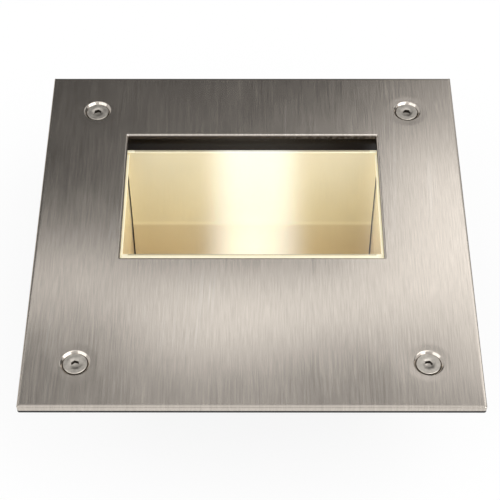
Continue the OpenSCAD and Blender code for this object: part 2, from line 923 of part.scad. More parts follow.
module thermal_pad() {
    color([0.55, 0.6, 0.68])
        board_layer(board_w / 2, led_z - board_h / 2, led_z + board_h / 2, board_back, pad_t);
}

module led_board() {
    color([0.9, 0.9, 0.88])
        board_layer(board_w / 2, led_z - board_h / 2, led_z + board_h / 2, board_face, board_t);
    color(brass)
        for (z = pad_z)
            translate([solder_x - 1.5, board_face, z - 1.3])
                cube([3, solder_t, 2.6]);
}

module led_chip() {
    color([0.85, 0.86, 0.83])
        translate([-chip_side / 2, board_face, led_z - chip_side / 2])
            cube([chip_side, chip_t, chip_side]);
}

// Puts its children on the light's axis, at a distance in front of the board
module on_axis(front) {
    translate([0, board_face + front, led_z])
        rotate([-90, 0, 0])
            children();
}

module led_phosphor() {
    color([0.98, 0.82, 0.25])
        on_axis(chip_t)
            cylinder(h = phosphor_t, r = phosphor_d / 2);
}

module led_lens() {
    lens_r = lens_d / 2;
    ball_r = (lens_r * lens_r + lens_h * lens_h) / (2 * lens_h);
    color([0.9, 0.92, 0.9, 0.5])
        on_axis(chip_t + phosphor_t)
            rotate_extrude()
                intersection() {
                    translate([0, lens_h - ball_r])
                        circle(ball_r);
                    square([lens_r, lens_h]);
                }
}

module led_holder() {
    bore_r = lens_d / 2 + pocket_gap;
    pocket = chip_side + 2 * pocket_gap;
    ear_half = holder_pitch / 2 + 2.5;
    color([0.93, 0.93, 0.9])
        on_axis(0)
            difference() {
                union() {
                    cylinder(h = holder_t, r = holder_d / 2);
                    translate([-ear_half, -4, 0])
                        cube([2 * ear_half, 8, holder_ear_t]);
                }
                translate([0, 0, -eps])
                    cylinder(h = holder_t + 2 * eps, r = bore_r);
                translate([-pocket / 2, -pocket / 2, -eps])
                    cube([pocket, pocket, chip_t + pocket_gap + eps]);
                translate([0, 0, holder_t - 2])
                    cylinder(h = 2.01, r1 = bore_r, r2 = bore_r + 2.6);
                for (x = [-1, 1])
                    translate([x * holder_pitch / 2, 0, -eps])
                        cylinder(h = holder_t + 2 * eps, r = m3_d / 2 + screw_gap);
            }
}

module holder_screws() {
    color(screw_steel)
        on_axis(holder_ear_t)
            for (x = [-1, 1])
                translate([x * holder_pitch / 2, 0, 0])
                    pan_screw(m3_d, 7, 2.3, 1.6);
}

// Driver

module driver_case() {
    ear_reach = driver_half + driver_ear;
    color([0.85, 0.85, 0.84])
        difference() {
            union() {
                translate([-driver_half, driver_near, wall])
                    cube([driver_l, driver_w, driver_h - driver_lid_t]);
                translate([-ear_reach, driver_mid_y - 3.5, driver_ear_z])
                    cube([2 * ear_reach, 7, driver_ear_t]);
            }
            for (x = [-1, 1])
                translate([x * driver_hole_x, driver_mid_y, 0])
                    cylinder(h = driver_top, r = m3_d / 2 + screw_gap);
        }
}

module driver_lid() {
    color([0.95, 0.95, 0.94])
        translate([0, 0, driver_top - driver_lid_t])
            round_block(driver_l, driver_w, driver_lid_t, 1, driver_mid_y);
}

module driver_screws() {
    color(screw_steel)
        for (x = [-1, 1])
            translate([x * driver_hole_x, driver_mid_y, driver_ear_z + driver_ear_t])
                pan_screw(m3_d, 6, 2.7, 2);
}

// Terminal block

module terminal_block() {
    color([0.9, 0.9, 0.88])
        difference() {
            union() {
                translate([block_left, block_near, block_z])
                    cube([block_w, block_d, block_h]);
                for (i = [0 : 3])
                    translate([block_left + i * pole_pitch, block_near, block_top - 0.01])
                        cube([block_wall, 4.4, cheek_ear_h]);
            }
            translate([block_left - eps, pivot_y, pivot_z])
                rotate([0, 90, 0])
                    cylinder(h = block_w + 2 * eps, r = pivot_d / 2 + running_gap);
            for (i = [0 : 2])
                translate([pole_x(i), block_far - port_depth, port_z])
                    rotate([-90, 0, 0])
                        cylinder(h = port_depth + eps, r = port_d / 2);
            for (i = [0 : 2])
                translate([pole_x(i), block_far - port_depth, block_top - 2])
                    rotate([-90, 0, 0])
                        cylinder(h = port_depth + eps, r = 1.4);
        }
}

// A lever with its pivot pins, lying shut on the block
module lever(i) {
    hub_r = 1.15;
    difference() {
        union() {
            translate([pole_x(i) - lever_w / 2, pivot_y, pivot_z])
                rotate([0, 90, 0])
                    cylinder(h = lever_w, r = hub_r);
            translate([pole_x(i) - lever_w / 2, pivot_y, pivot_z + hub_r - lever_t])
                cube([lever_w, lever_l, lever_t]);
            translate([pole_x(i) - lever_w / 2 - pin_l, pivot_y, pivot_z])
                rotate([0, 90, 0])
                    cylinder(h = lever_w + 2 * pin_l, r = pivot_d / 2);
        }
        for (k = [0 : 2])
            translate([pole_x(i) - lever_w, pivot_y + lever_l - 1.2 - k, pivot_z + hub_r - 0.3])
                cube([2 * lever_w, 0.5, 1]);
    }
}

module terminal_lever_live() {
    color(lever_grey)
        lever(0);
}

module terminal_lever_neutral() {
    color(lever_grey)
        lever(1);
}

module terminal_lever_earth() {
    color(lever_grey)
        lever(2);
}

module earth_ring() {
    ring_t = 0.8;
    color(raw_aluminium)
        difference() {
            union() {
                translate([0, earth_y, foot_top])
                    cylinder(h = ring_t, r = 4);
                translate([ring_barrel_x, earth_y - 2, foot_top])
                    cube([5, 4, ring_t]);
                translate([ring_barrel_x - ring_barrel_l, earth_y, foot_top + ring_barrel_r])
                    rotate([0, 90, 0])
                        cylinder(h = ring_barrel_l + 0.5, r = ring_barrel_r);
            }
            translate([0, earth_y, 0])
                cylinder(h = total_h, r = m4_d / 2 + screw_gap);
        }
}

module earth_screw() {
    color([0.5, 0.62, 0.35])
        translate([0, earth_y, foot_top + 0.8])
            pan_screw(m4_d, foot_top - 0.7, 3.8, 2.5);
}

// Leads

function unit(v) = v / norm(v);
function curve_point(a, b, c, d, t) =
    0.5 * ((2 * b) + (c - a) * t + (2 * a - 5 * b + 4 * c - d) * t * t
        + (3 * b - a - 3 * c + d) * t * t * t);
function smooth(p, steps) = [
    for (i = [0 : len(p) - 2], k = [0 : steps - 1])
        curve_point(p[max(i - 1, 0)], p[i], p[i + 1], p[min(i + 2, len(p) - 1)], k / steps),
    p[len(p) - 1]
];
function heading(q, i) = unit(q[min(i + 1, len(q) - 1)] - q[max(i - 1, 0)]);
function carried(n, t) = unit(n - (n * t) * t);
function normals(q, i, n) =
    i == len(q) ? [] : let (m = carried(n, heading(q, i))) concat([m], normals(q, i + 1, m));

// A tube of eight sides along a smooth route, given its first normal
module lead(points, d, first_normal) {
    sides = 8;
    q = smooth(points, 3);
    n = normals(q, 0, first_normal);
    rings = [
        for (i = [0 : len(q) - 1], k = [0 : sides - 1])
            let (a = 360 * k / sides, side = cross(heading(q, i), n[i]))
            q[i] + d / 2 * (cos(a) * n[i] + sin(a) * side)
    ];
    last = (len(q) - 1) * sides;
    skin = [
        for (i = [0 : len(q) - 2], k = [0 : sides - 1])
            let (a = i * sides + k, b = i * sides + (k + 1) % sides)
            [a, a + sides, b + sides, b]
    ];
    near_cap = [[for (k = [0 : sides - 1]) k]];
    far_cap = [[for (k = [sides - 1 : -1 : 0]) last + k]];
    polyhedron(points = rings, faces = concat(skin, near_cap, far_cap), convexity = 8);
}

// The lead's way out of the driver's end, on one side
function way_out(side, row, reach) = [
    for (k = [0, 0.5, 1])
        [side * (driver_half + k * reach * lead_bend), driver_mid_y + lead_out_y[row], lead_out_z]
];

// The way along the tub's floor to a pole of the terminal block
function way_in(x, b) = [
    [x, (driver_near + block_far) / 2, run_z], [x, block_far + 3 * b, run_z],
    [x, block_far + 1.5 * b, port_z], [x, block_far + 0.5 * b, port_z], [x, lead_in, port_z]
];

module lead_live() {
    b = lead_bend;
    x = pole_x(0);
    turn = [
        [-driver_half - 2.4 * b, driver_mid_y - 0.3 * b, lead_out_z - 0.8 * b],
        [x, driver_near + 1.1 * b, run_z + 0.4 * b], [x, driver_near - 1.1 * b, run_z]
    ];
    color([0.45, 0.27, 0.16])
        lead(concat(way_out(-1, 1, 1.1), turn, way_in(x, b)), mains_lead_d, [0, 0, 1]);
}

module lead_neutral() {
    b = lead_bend;
    x = pole_x(1);
    turn = [
        [x + 0.1 * b, driver_near + 1.1 * b, lead_out_z - 0.7 * b],
        [x, driver_near + 0.1 * b, run_z + 0.4 * b], [x, driver_near - 1.9 * b, run_z]
    ];
    color([0.16, 0.32, 0.62])
        lead(concat(way_out(-1, 0, 0.6), turn, way_in(x, b)), mains_lead_d, [0, 0, 1]);
}

module lead_earth() {
    b = lead_bend;
    x = pole_x(2);
    end_x = ring_barrel_x - ring_barrel_l;
    z = foot_top + ring_barrel_r;
    color([0.4, 0.6, 0.2])
        lead([[x, lead_in, port_z], [x, block_far, port_z], [x, block_far + 0.6 * b, port_z],
            [x + 0.4 * b, block_far + 1.2 * b, port_z + 0.6 * b],
            [x + b, block_far + 0.7 * b, z + 0.5 * b], [x + 2 * b, earth_y + 1.6 * b, z + 0.8 * b],
            [end_x - 1.4 * b, earth_y + 0.2 * b, z + 0.4 * b], [end_x - 0.8 * b, earth_y, z],
            [end_x - 0.4 * b, earth_y, z], [end_x, earth_y, z]], mains_lead_d, [0, 0, 1]);
}

module lead_led_plus() {
    b = lead_bend;
    x = led_run_x;
    z = pad_z[0];
    pad_y = board_face + solder_t + led_lead_d / 2 + 0.05;
    run = [
        [x, driver_near + 1.1 * b, lead_out_z - 0.7 * b], [x, driver_near, run_z + 0.2 * b],
        [x, driver_near - 2.4 * b, run_z], [x, rise_y + 3 * b, run_z], [x, rise_y + 1.6 * b, run_z]
    ];
    rise = [
        [x - 0.5 * b, rise_y + 0.2 * b, run_z + b], [x - 1.2 * b, rise_y, run_z + 2.6 * b],
        [spreader_half + b, rise_y + 0.1 * b, z - 0.8 * b],
        [spreader_half, pad_y - 0.1, z - 0.1 * b]
    ];
    end = [for (k = [1.6, 0.6, 0]) [solder_x + k * b, pad_y, z]];
    color([0.72, 0.1, 0.08])
        lead(concat(way_out(1, 0, 0.6), run, rise, end), led_lead_d, [0, 0, 1]);
}

module lead_led_minus() {
    b = lead_bend;
    x = led_run_x + 1.1 * b;
    z = pad_z[1];
    pad_y = board_face + solder_t + led_lead_d / 2 + 0.05;
    run = [
        [x, driver_mid_y - 0.3 * b, lead_out_z - 0.8 * b],
        [x, driver_near + 1.1 * b, run_z + 0.3 * b], [x, driver_near - 1.1 * b, run_z],
        [x, rise_y + 3 * b, run_z], [x - 0.1 * b, rise_y + 1.6 * b, run_z + 0.1 * b]
    ];
    rise = [
        [x - 0.6 * b, rise_y, run_z + 1.2 * b], [x - 1.4 * b, rise_y - 0.4 * b, run_z + 3 * b],
        [spreader_half + 2 * b, rise_y - 0.4 * b, z - 3 * b],
        [spreader_half + 1.2 * b, rise_y + 0.1 * b, z - b],
        [spreader_half + 0.2 * b, pad_y - 0.1, z - 0.1 * b]
    ];
    end = [for (k = [1.6, 0.6, 0]) [solder_x + k * b, pad_y, z]];
    color([0.08, 0.08, 0.09])
        lead(concat(way_out(1, 1, 1.1), run, rise, end), led_lead_d, [0, 0, 1]);
}

// Gland and plug

// Puts its children on the gland's axis, z = 0 at the tub's outer wall and +Z pointing out
module at_gland(side) {
    translate([side * tub_half, gland_y, gland_z])
        rotate([0, side * 90, 0])
            children();
}

module flat_washer() {
    color(black)
        difference() {
            cylinder(h = washer_t, r = gland_af / 2);
            translate([0, 0, -eps])
                cylinder(h = washer_t + 2 * eps, r = gland_r + 0.1);
        }
}

module locknut() {
    color([0.3, 0.3, 0.31])
        translate([0, 0, -wall - locknut_t])
            difference() {
                hexagon(gland_af, locknut_t);
                translate([0, 0, -eps])
                    cylinder(h = locknut_t + 2 * eps, r = gland_r + running_gap);
            }
}

module gland_body() {
    color([0.3, 0.3, 0.31])
        at_gland(-1)
            difference() {
                union() {
                    translate([0, 0, -thread_in])
                        cylinder(h = thread_in + washer_t, r = gland_r);
                    translate([0, 0, washer_t])
                        hexagon(gland_af, gland_hex_l);
                    translate([0, 0, washer_t + gland_hex_l])
                        cylinder(h = cap_thread_l, r = cap_thread_r);
                }
                translate([0, 0, -thread_in - eps])
                    cylinder(h = thread_in + gland_hex_l + 2 * eps, r = gland_bore_r);
                translate([0, 0, washer_t + gland_hex_l - 1])
                    cylinder(h = cap_thread_l + 1 + eps, r = seal_r + 0.1);
            }
}

module gland_washer() {
    at_gland(-1)
        flat_washer();
}

module gland_locknut() {
    at_gland(-1)
        locknut();
}

module gland_seal() {
    color(black)
        at_gland(-1)
            translate([0, 0, washer_t + gland_hex_l - 1])
                difference() {
                    cylinder(h = seal_l, r = seal_r);
                    translate([0, 0, -eps])
                        cylinder(h = seal_l + 2 * eps, r = cable_bore_d / 2);
                }
}

module gland_nut() {
    straight = gland_nut_l - 3.5;
    color([0.3, 0.3, 0.31])
        at_gland(-1)
            translate([0, 0, washer_t + gland_hex_l + 0.5])
                difference() {
                    union() {
                        hexagon(gland_af, straight);
                        translate([0, 0, straight])
                            cylinder(h = 3.5, r1 = gland_af / 2, r2 = gland_af / 2 - 2.5);
                    }
                    translate([0, 0, -eps])
                        cylinder(h = straight + eps, r = cap_thread_r + running_gap);
                    translate([0, 0, straight - eps])
                        cylinder(h = 1.7 + eps, r1 = cap_thread_r + running_gap, r2 = seal_r + 0.2);
                    cylinder(h = gland_nut_l + eps, r = cable_bore_d / 2 + 1.2);
                }
}

module blanking_plug() {
    color([0.3, 0.3, 0.31])
        at_gland(1)
            difference() {
                union() {
                    translate([0, 0, -thread_in])
                        cylinder(h = thread_in + washer_t, r = gland_r);
                    translate([0, 0, washer_t])
                        hexagon(gland_af, gland_hex_l - 1);
                    translate([0, 0, washer_t + gland_hex_l - 1])
                        cylinder(h = 1, r1 = gland_af / 2, r2 = gland_af / 2 - 1);
                }
                translate([-gland_af / 2, -0.8, washer_t + gland_hex_l - 1.5])
                    cube([gland_af, 1.6, 2 + eps]);
                translate([0, 0, -thread_in - eps])
                    cylinder(h = thread_in + eps, r = gland_bore_r);
            }
}

module plug_washer() {
    at_gland(1)
        flat_washer();
}

module plug_locknut() {
    at_gland(1)
        locknut();
}

front_plate();
plate_gasket();
frame_studs();
glass_seal();
glass_pane();
glass_frame();
frame_nuts();
cover_screw_near_left();
cover_screw_near_right();
cover_screw_far_left();
cover_screw_far_right();
housing();
thread_inserts();
reflector_slope();
reflector_tray();
reflector_cheek_left();
reflector_cheek_right();
reflector_screws();
reflector_rivets();
heat_spreader();
spreader_screws();
thermal_pad();
led_board();
led_chip();
led_phosphor();
led_lens();
led_holder();
holder_screws();
driver_case();
driver_lid();
driver_screws();
terminal_block();
terminal_lever_live();
terminal_lever_neutral();
terminal_lever_earth();
earth_screw();
earth_ring();
lead_live();
lead_neutral();
lead_earth();
lead_led_plus();
lead_led_minus();
gland_body();
gland_washer();
gland_locknut();
gland_seal();
gland_nut();
blanking_plug();
plug_washer();
plug_locknut();
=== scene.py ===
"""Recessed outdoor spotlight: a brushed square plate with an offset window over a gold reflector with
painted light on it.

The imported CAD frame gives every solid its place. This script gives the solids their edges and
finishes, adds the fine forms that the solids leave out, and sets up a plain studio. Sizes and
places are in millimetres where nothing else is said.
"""

from __future__ import annotations

import json
import logging
import math
from contextlib import contextmanager
from dataclasses import dataclass, field
from enum import Enum
from typing import Callable, Iterator, Sequence

import bmesh
import bpy
from mathutils import Matrix, Vector

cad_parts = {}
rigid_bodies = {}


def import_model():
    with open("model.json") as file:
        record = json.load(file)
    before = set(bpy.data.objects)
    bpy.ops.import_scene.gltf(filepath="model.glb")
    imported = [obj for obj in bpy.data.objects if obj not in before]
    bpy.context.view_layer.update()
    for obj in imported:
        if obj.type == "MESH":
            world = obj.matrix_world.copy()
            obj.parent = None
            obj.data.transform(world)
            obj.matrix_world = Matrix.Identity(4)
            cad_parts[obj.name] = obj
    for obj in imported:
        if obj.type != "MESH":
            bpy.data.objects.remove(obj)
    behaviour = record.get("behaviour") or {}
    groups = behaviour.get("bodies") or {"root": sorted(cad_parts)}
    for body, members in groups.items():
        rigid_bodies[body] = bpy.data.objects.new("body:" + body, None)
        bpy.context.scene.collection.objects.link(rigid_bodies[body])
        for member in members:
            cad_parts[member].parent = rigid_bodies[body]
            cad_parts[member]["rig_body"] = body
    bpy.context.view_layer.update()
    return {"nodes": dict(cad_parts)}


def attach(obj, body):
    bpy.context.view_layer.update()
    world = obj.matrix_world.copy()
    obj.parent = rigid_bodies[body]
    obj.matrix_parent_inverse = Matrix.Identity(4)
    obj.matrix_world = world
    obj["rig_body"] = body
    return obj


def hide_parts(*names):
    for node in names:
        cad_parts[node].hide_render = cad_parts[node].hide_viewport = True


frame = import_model()

LOG = logging.getLogger("spotlight")
MM = 0.001
Triple = tuple[float, float, float]
Colour = tuple[float, float, float]
Ring = tuple[float, float]


class Pick(Enum):
    """What a selection takes in edit mode."""

    VERTS = "VERT"
    EDGES = "EDGE"
    FACES = "FACE"


# ---------------------------------------------------------------- modelling


class Bench:
    """The moves that every sub-assembly models with."""

    @staticmethod
    def clear() -> None:
        """Leave edit mode and deselect everything."""
        if bpy.context.object and bpy.context.object.mode != "OBJECT":
            bpy.ops.object.mode_set(mode="OBJECT")
        for other in bpy.context.view_layer.objects:
            other.select_set(False)

    @staticmethod
    def take(piece: bpy.types.Object) -> None:
        """Make one piece the only selected and active one.

        Args:
            piece: The piece.
        """
        Bench.clear()
        piece.select_set(True)
        bpy.context.view_layer.objects.active = piece

    @staticmethod
    def placed(name: str, data: bpy.types.ID) -> bpy.types.Object:
        """Put an object with the given data into the scene.

        Args:
            name: The object's name.
            data: Its mesh, curve, camera or lamp.

        Returns:
            The object.
        """
        made = bpy.data.objects.new(name, data)
        bpy.context.scene.collection.objects.link(made)
        return made

    @staticmethod
    def added(name: str) -> bpy.types.Object:
        """Name the active piece, which an operator has just made.

        Args:
            name: The piece's name.

        Returns:
            The piece.
        """
        piece = bpy.context.object
        piece.name = piece.data.name = name
        return piece

    @staticmethod
    @contextmanager
    def edit(piece: bpy.types.Object, pick: Pick = Pick.FACES) -> Iterator[None]:
        """Hold a piece in edit mode with nothing selected.

        Args:
            piece: The piece to edit.
            pick: What selections take.
        """
        Bench.take(piece)
        bpy.ops.object.mode_set(mode="EDIT")
        bpy.ops.mesh.select_mode(type=pick.value)
        bpy.ops.mesh.select_all(action="DESELECT")
        yield
        bpy.ops.object.mode_set(mode="OBJECT")

    @staticmethod
    def select(test: Callable[[Vector, Vector], bool], pick: Pick = Pick.FACES) -> int:
        """Select the edited piece's faces, edges or points by place and normal.

        Args:
            test: Takes a middle point and a normal, or an edge's direction, and says whether it
                is wanted.
            pick: What to test.

        Returns:
            How many were selected.
        """
        mesh = bpy.context.object.data
        work = bmesh.from_edit_mesh(mesh)
        bpy.ops.mesh.select_mode(type=pick.value)
        bpy.ops.mesh.select_all(action="DESELECT")
        if pick is Pick.FACES:
            things = [(face, face.calc_center_median(), face.normal) for face in work.faces]
        elif pick is Pick.EDGES:
            ends = [(edge, edge.verts[0].co, edge.verts[1].co) for edge in work.edges]
            things = [(edge, (a + b) / 2, (b - a).normalized()) for edge, a, b in ends]
        else:
            things = [(point, point.co, point.normal) for point in work.verts]
        wanted = [thing for thing, middle, normal in things if test(middle, normal)]
        for thing in wanted:
            thing.select_set(True)
        work.select_flush_mode()
        bmesh.update_edit_mesh(mesh)
        return len(wanted)

    @staticmethod
    def apply(piece: bpy.types.Object, kind: str, **settings: object) -> None:
        """Add a modifier and apply it at once.

        Args:
            piece: The piece to finish.
            kind: The modifier's type.
            **settings: The modifier's values.
        """
        Bench.take(piece)
        modifier = piece.modifiers.new(kind.title(), kind)
        for key, value in settings.items():
            setattr(modifier, key, value)
        bpy.ops.object.modifier_apply(modifier=modifier.name)

    @staticmethod
    def settle(piece: bpy.types.Object) -> None:
        """Put a piece's place and turn into its mesh."""
        Bench.take(piece)
        bpy.ops.object.transform_apply(location=True, rotation=True, scale=True)

    @staticmethod
    def close(piece: bpy.types.Object, reach: float = 1e-6) -> None:
        """Merge a piece's doubled points and turn its faces outwards.

        Args:
            piece: The piece.
            reach: How near doubled points lie, in metres.
        """
        with Bench.edit(piece, Pick.VERTS):
            bpy.ops.mesh.select_all(action="SELECT")
            bpy.ops.mesh.remove_doubles(threshold=reach)
            bpy.ops.mesh.normals_make_consistent(inside=False)

    @staticmethod
    def plain_normals(piece: bpy.types.Object) -> None:
        """Drop the normals that a mesh brings with it.

        Args:
            piece: The piece.
        """
        if piece.data.has_custom_normals:
            Bench.take(piece)
            bpy.ops.mesh.customdata_custom_splitnormals_clear()

    @staticmethod
    def round_edges(piece: bpy.types.Object, width: float, steps: int = 2, angle: float = 32.0) -> None:
        """Round a piece's sharp edges and shade the rest smooth.

        Args:
            piece: The piece.
            width: The rounding's width, or 0 for none.
            steps: Faces across the rounding.
            angle: Edges sharper than this many degrees are rounded.
        """
        if width:
            Bench.apply(
                piece, "BEVEL", width=width * MM, segments=steps, limit_method="ANGLE",
                angle_limit=math.radians(angle), use_clamp_overlap=False,
                miter_outer="MITER_ARC", harden_normals=False,
            )
        Bench.take(piece)
        bpy.ops.object.shade_smooth_by_angle(angle=math.radians(angle))
        Bench.apply(piece, "WEIGHTED_NORMAL", keep_sharp=True, weight=60)

    @staticmethod
    def from_node(node: str, width: float = 0.0, steps: int = 2) -> bpy.types.Object:
        """Copy a CAD node, merge its triangles and round its edges.

        Args:
            node: The CAD node.
            width: The rounding's width, or 0 for none.
            steps: Faces across the rounding.

        Returns:
            The copy.
        """
        piece = Bench.placed(node + "_dressed", frame["nodes"][node].data.copy())
        piece.data.materials.clear()
        with Bench.edit(piece, Pick.VERTS):
            bpy.ops.mesh.select_all(action="SELECT")
            bpy.ops.mesh.remove_doubles(threshold=2e-6)
            bpy.ops.mesh.dissolve_limited(angle_limit=math.radians(0.6))
        Bench.plain_normals(piece)
        Bench.round_edges(piece, width, steps)
        return piece

    @staticmethod
    def twin(piece: bpy.types.Object, name: str, place: Matrix) -> bpy.types.Object:
        """Copy a piece with a mesh of its own.

        Args:
            piece: The piece that was modelled once.
            name: The copy's name.
            place: Where the copy's mesh goes.

        Returns:
            The copy.
        """
        copy = Bench.placed(name, piece.data.copy())
        copy.data.transform(place)
        return copy

    @staticmethod
    def join(name: str, pieces: Sequence[bpy.types.Object]) -> bpy.types.Object:
        """Join pieces into one.

        Args:
            name: The joined piece's name.
            pieces: The pieces, of which the first keeps its object.

        Returns:
            The joined piece.
        """
        Bench.take(pieces[0])
        for piece in pieces:
            piece.select_set(True)
        bpy.ops.object.join()
        return Bench.added(name)


class Shapes:
    """Forms that several sub-assemblies share."""

    @staticmethod
    def circle(name: str, ring: Ring, sides: int) -> bpy.types.Object:
        """Lay an open circle about the Z axis.

        Args:
            name: The piece's name.
            ring: The circle's radius and height.
            sides: Its edges.

        Returns:
            The circle.
        """
        Bench.clear()
        bpy.ops.mesh.primitive_circle_add(
            vertices=sides, radius=ring[0] * MM, fill_type="NOTHING", location=(0.0, 0.0, ring[1] * MM)
        )
        piece = Bench.added(name)
        Bench.settle(piece)
        return piece

    @staticmethod
    def rise(profile: Sequence[Ring]) -> None:
        """Close the edited circle and extrude it from ring to ring.

        Args:
            profile: Radius and height of each ring, from the circle on.
        """
        for fill in (True, False):
            Bench.select(lambda middle, way: True, Pick.EDGES)
            if fill:
                bpy.ops.mesh.edge_face_add()
        for (radius, height), (wide, high) in zip(profile, profile[1:]):
            bpy.ops.mesh.extrude_edges_move(
                TRANSFORM_OT_translate={"value": (0.0, 0.0, (high - height) * MM)}
            )
            bpy.ops.transform.resize(
                value=(wide / radius, wide / radius, 1.0), center_override=(0.0, 0.0, high * MM)
            )

    @staticmethod
    def turned(name: str, profile: Sequence[Ring], sides: int = 24) -> bpy.types.Object:
        """Turn a profile about the Z axis, ring by ring, and close its ends.

        Args:
            name: The piece's name.
            profile: Radius and height of each ring.
            sides: Faces round the piece.

        Returns:
            The closed piece.
        """
        piece = Shapes.circle(name, profile[0], sides)
        with Bench.edit(piece, Pick.EDGES):
            Shapes.rise(profile)
            bpy.ops.mesh.edge_face_add()
        Bench.close(piece)
        return piece

    @staticmethod
    def threaded(
        name: str, radius: float, pitch: float, low: float, high: float, sides: int = 24
    ) -> bpy.types.Object:
        """Make a closed rod with a helical thread along Z.

        Args:
            name: The piece's name.
            radius: The thread's outer radius.
            pitch: The thread's pitch.
            low: Where the rod starts.
            high: Where the rod ends.
            sides: Faces round the rod.

        Returns:
            The rod.
        """
        depth, flank, crest = 0.6 * pitch, 0.44 * pitch, 0.12 * pitch
        start = low - 1.5 * pitch
        Bench.clear()
        bpy.ops.mesh.primitive_plane_add(size=MM, location=(radius * MM, 0.0, start * MM))
        piece = Bench.added(name)
        Bench.settle(piece)
        with Bench.edit(piece, Pick.VERTS):
            bpy.ops.mesh.select_all(action="SELECT")
            bpy.ops.mesh.merge(type="CENTER")
            for _ in range(int((high - low) / pitch) + 3):
                for out, up in ((-depth, flank), (0.0, crest), (depth, flank)):
                    bpy.ops.mesh.extrude_vertices_move(
                        TRANSFORM_OT_translate={"value": (out * MM, 0.0, up * MM)}
                    )
        Bench.apply(
            piece, "SCREW", steps=sides, render_steps=sides, screw_offset=pitch * MM,
            angle=2 * math.pi, iterations=1, use_merge_vertices=True, merge_threshold=1e-7,
        )
        Bench.close(piece, 2e-6)
        with Bench.edit(piece, Pick.FACES):
            for height, outer in ((low, False), (high, True)):
                bpy.ops.mesh.select_all(action="SELECT")
                bpy.ops.mesh.bisect(
                    plane_co=(0.0, 0.0, height * MM), plane_no=(0.0, 0.0, 1.0), use_fill=True,
                    clear_inner=not outer, clear_outer=outer,
                )
        Bench.close(piece)
        return piece

    @staticmethod
    def axis_map(piece: bpy.types.Object) -> None:
        """Map a piece flat across the Z axis, in metres, for turned rings.

        Args:
            piece: The piece.
        """
        layer = piece.data.uv_layers.new(name="axis")
        for loop in piece.data.loops:
            layer.data[loop.index].uv = piece.data.vertices[loop.vertex_index].co.xy


# ---------------------------------------------------------------- wiring


class Term:
    """An output in a node tree that further nodes are built on."""

    def __init__(self, wire: Wiring, socket: bpy.types.NodeSocket) -> None:
        """Hold the output and its tree's wiring."""
        self.wire, self.socket = wire, socket

    def __add__(self, other: object) -> Term:
        """The sum."""
        return self.wire.math("ADD", self, other)

    def __sub__(self, other: object) -> Term:
        """The difference."""
        return self.wire.math("SUBTRACT", self, other)

    def __mul__(self, other: object) -> Term:
        """The product."""
        return self.wire.math("MULTIPLY", self, other)

    def __truediv__(self, other: object) -> Term:
        """The quotient."""
        return self.wire.math("DIVIDE", self, other)

    def __pow__(self, other: object) -> Term:
        """The power."""
        return self.wire.math("POWER", self, other)

    def __abs__(self) -> Term:
        """The value without its sign."""
        return self.wire.math("ABSOLUTE", self)

    def remap(
        self, low: float, high: float, to_low: float = 0.0, to_high: float = 1.0, smooth: bool = False
    ) -> Term:
        """Map a range onto another, clamped.

        Args:
            low: Where the range starts.
            high: Where it ends.
            to_low: What its start becomes.
            to_high: What its end becomes.
            smooth: Whether it eases in and out.

        Returns:
            The mapped value.
        """
        kind = "SMOOTHSTEP" if smooth else "LINEAR"
        return self.wire.term("MapRange", self, low, high, to_low, to_high, interpolation_type=kind)


class Wiring:
    """A node tree that is being wired."""

    def __init__(self, tree: bpy.types.NodeTree) -> None:
        """Hold the tree."""
        self.tree = tree

    def put(self, socket: bpy.types.NodeSocket, value: object) -> None:
        """Feed an input: link a term or an output to it, or set it.

        Args:
            socket: The input.
            value: A term, an output, a number or a colour.
        """
        value = value.socket if isinstance(value, Term) else value
        if isinstance(value, bpy.types.NodeSocket):
            self.tree.links.new(value, socket)
        elif isinstance(value, tuple) and len(value) < len(socket.default_value):
            socket.default_value = (*value, 1.0)
        else:
            socket.default_value = value

    def node(self, kind: str, *values: object, **inputs: object) -> bpy.types.Node:
        """Add a node.

        Args:
            kind: The node's type, without its ShaderNode prefix.
            *values: Its first inputs, in their order.
            **inputs: The node's settings, and inputs by name with _ for a space.

        Returns:
            The node.
        """
        made = self.tree.nodes.new("ShaderNode" + kind)
        for key, value in inputs.items():
            if hasattr(made, key):
                setattr(made, key, value)
            else:
                self.put(made.inputs[key.replace("_", " ")], value)
        for socket, value in zip(made.inputs, values):
            self.put(socket, value)
        return made

    def outputs(self, node: bpy.types.Node) -> dict[str, Term]:
        """A node's outputs by name."""
        return {socket.name: Term(self, socket) for socket in node.outputs}

    def term(self, kind: str, *values: object, output: int | str = 0, **inputs: object) -> Term:
        """Add a node and take one of its outputs."""
        return Term(self, self.node(kind, *values, **inputs).outputs[output])

    def math(self, operation: str, a: object, b: object = 0.0) -> Term:
        """Add a Math node."""
        return self.term("Math", a, b, operation=operation)

    def split(self, vector: Term) -> dict[str, Term]:
        """A vector's X, Y and Z."""
        return self.outputs(self.node("SeparateXYZ", vector))

    def between(self, share: Term, a: object, b: object) -> Term:
        """The value that lies a share of the way from a to b."""
        return self.math("ADD", a, share * self.math("SUBTRACT", b, a))

    def mix(self, share: object, a: object, b: object, blend: str = "MIX") -> Term:
        """Mix two colours.

        Args:
            share: How much of the second colour to take, from 0 to 1.
            a: The first colour.
            b: The second colour.
            blend: How the second is laid over the first.

        Returns:
            The mixed colour.
        """
        made = self.node("Mix", share, data_type="RGBA", blend_type=blend)
        self.put(made.inputs[6], a)
        self.put(made.inputs[7], b)
        return Term(self, made.outputs[2])

    def noise(self, vector: Term, scale: object, detail: float = 3.0, rough: float = 0.5) -> Term:
        """Add a Noise Texture and take its value."""
        made = self.node("TexNoise", Vector=vector, Scale=scale, Detail=detail, Roughness=rough)
        return Term(self, made.outputs["Fac"])

    def streaks(self, vector: Term, stretch: Triple, detail: float = 3.0, rough: float = 0.5) -> Term:
        """Noise with its own scale on each axis."""
        scaled = self.term("VectorMath", vector, stretch, operation="MULTIPLY")
        return self.noise(scaled, 1.0, detail, rough)


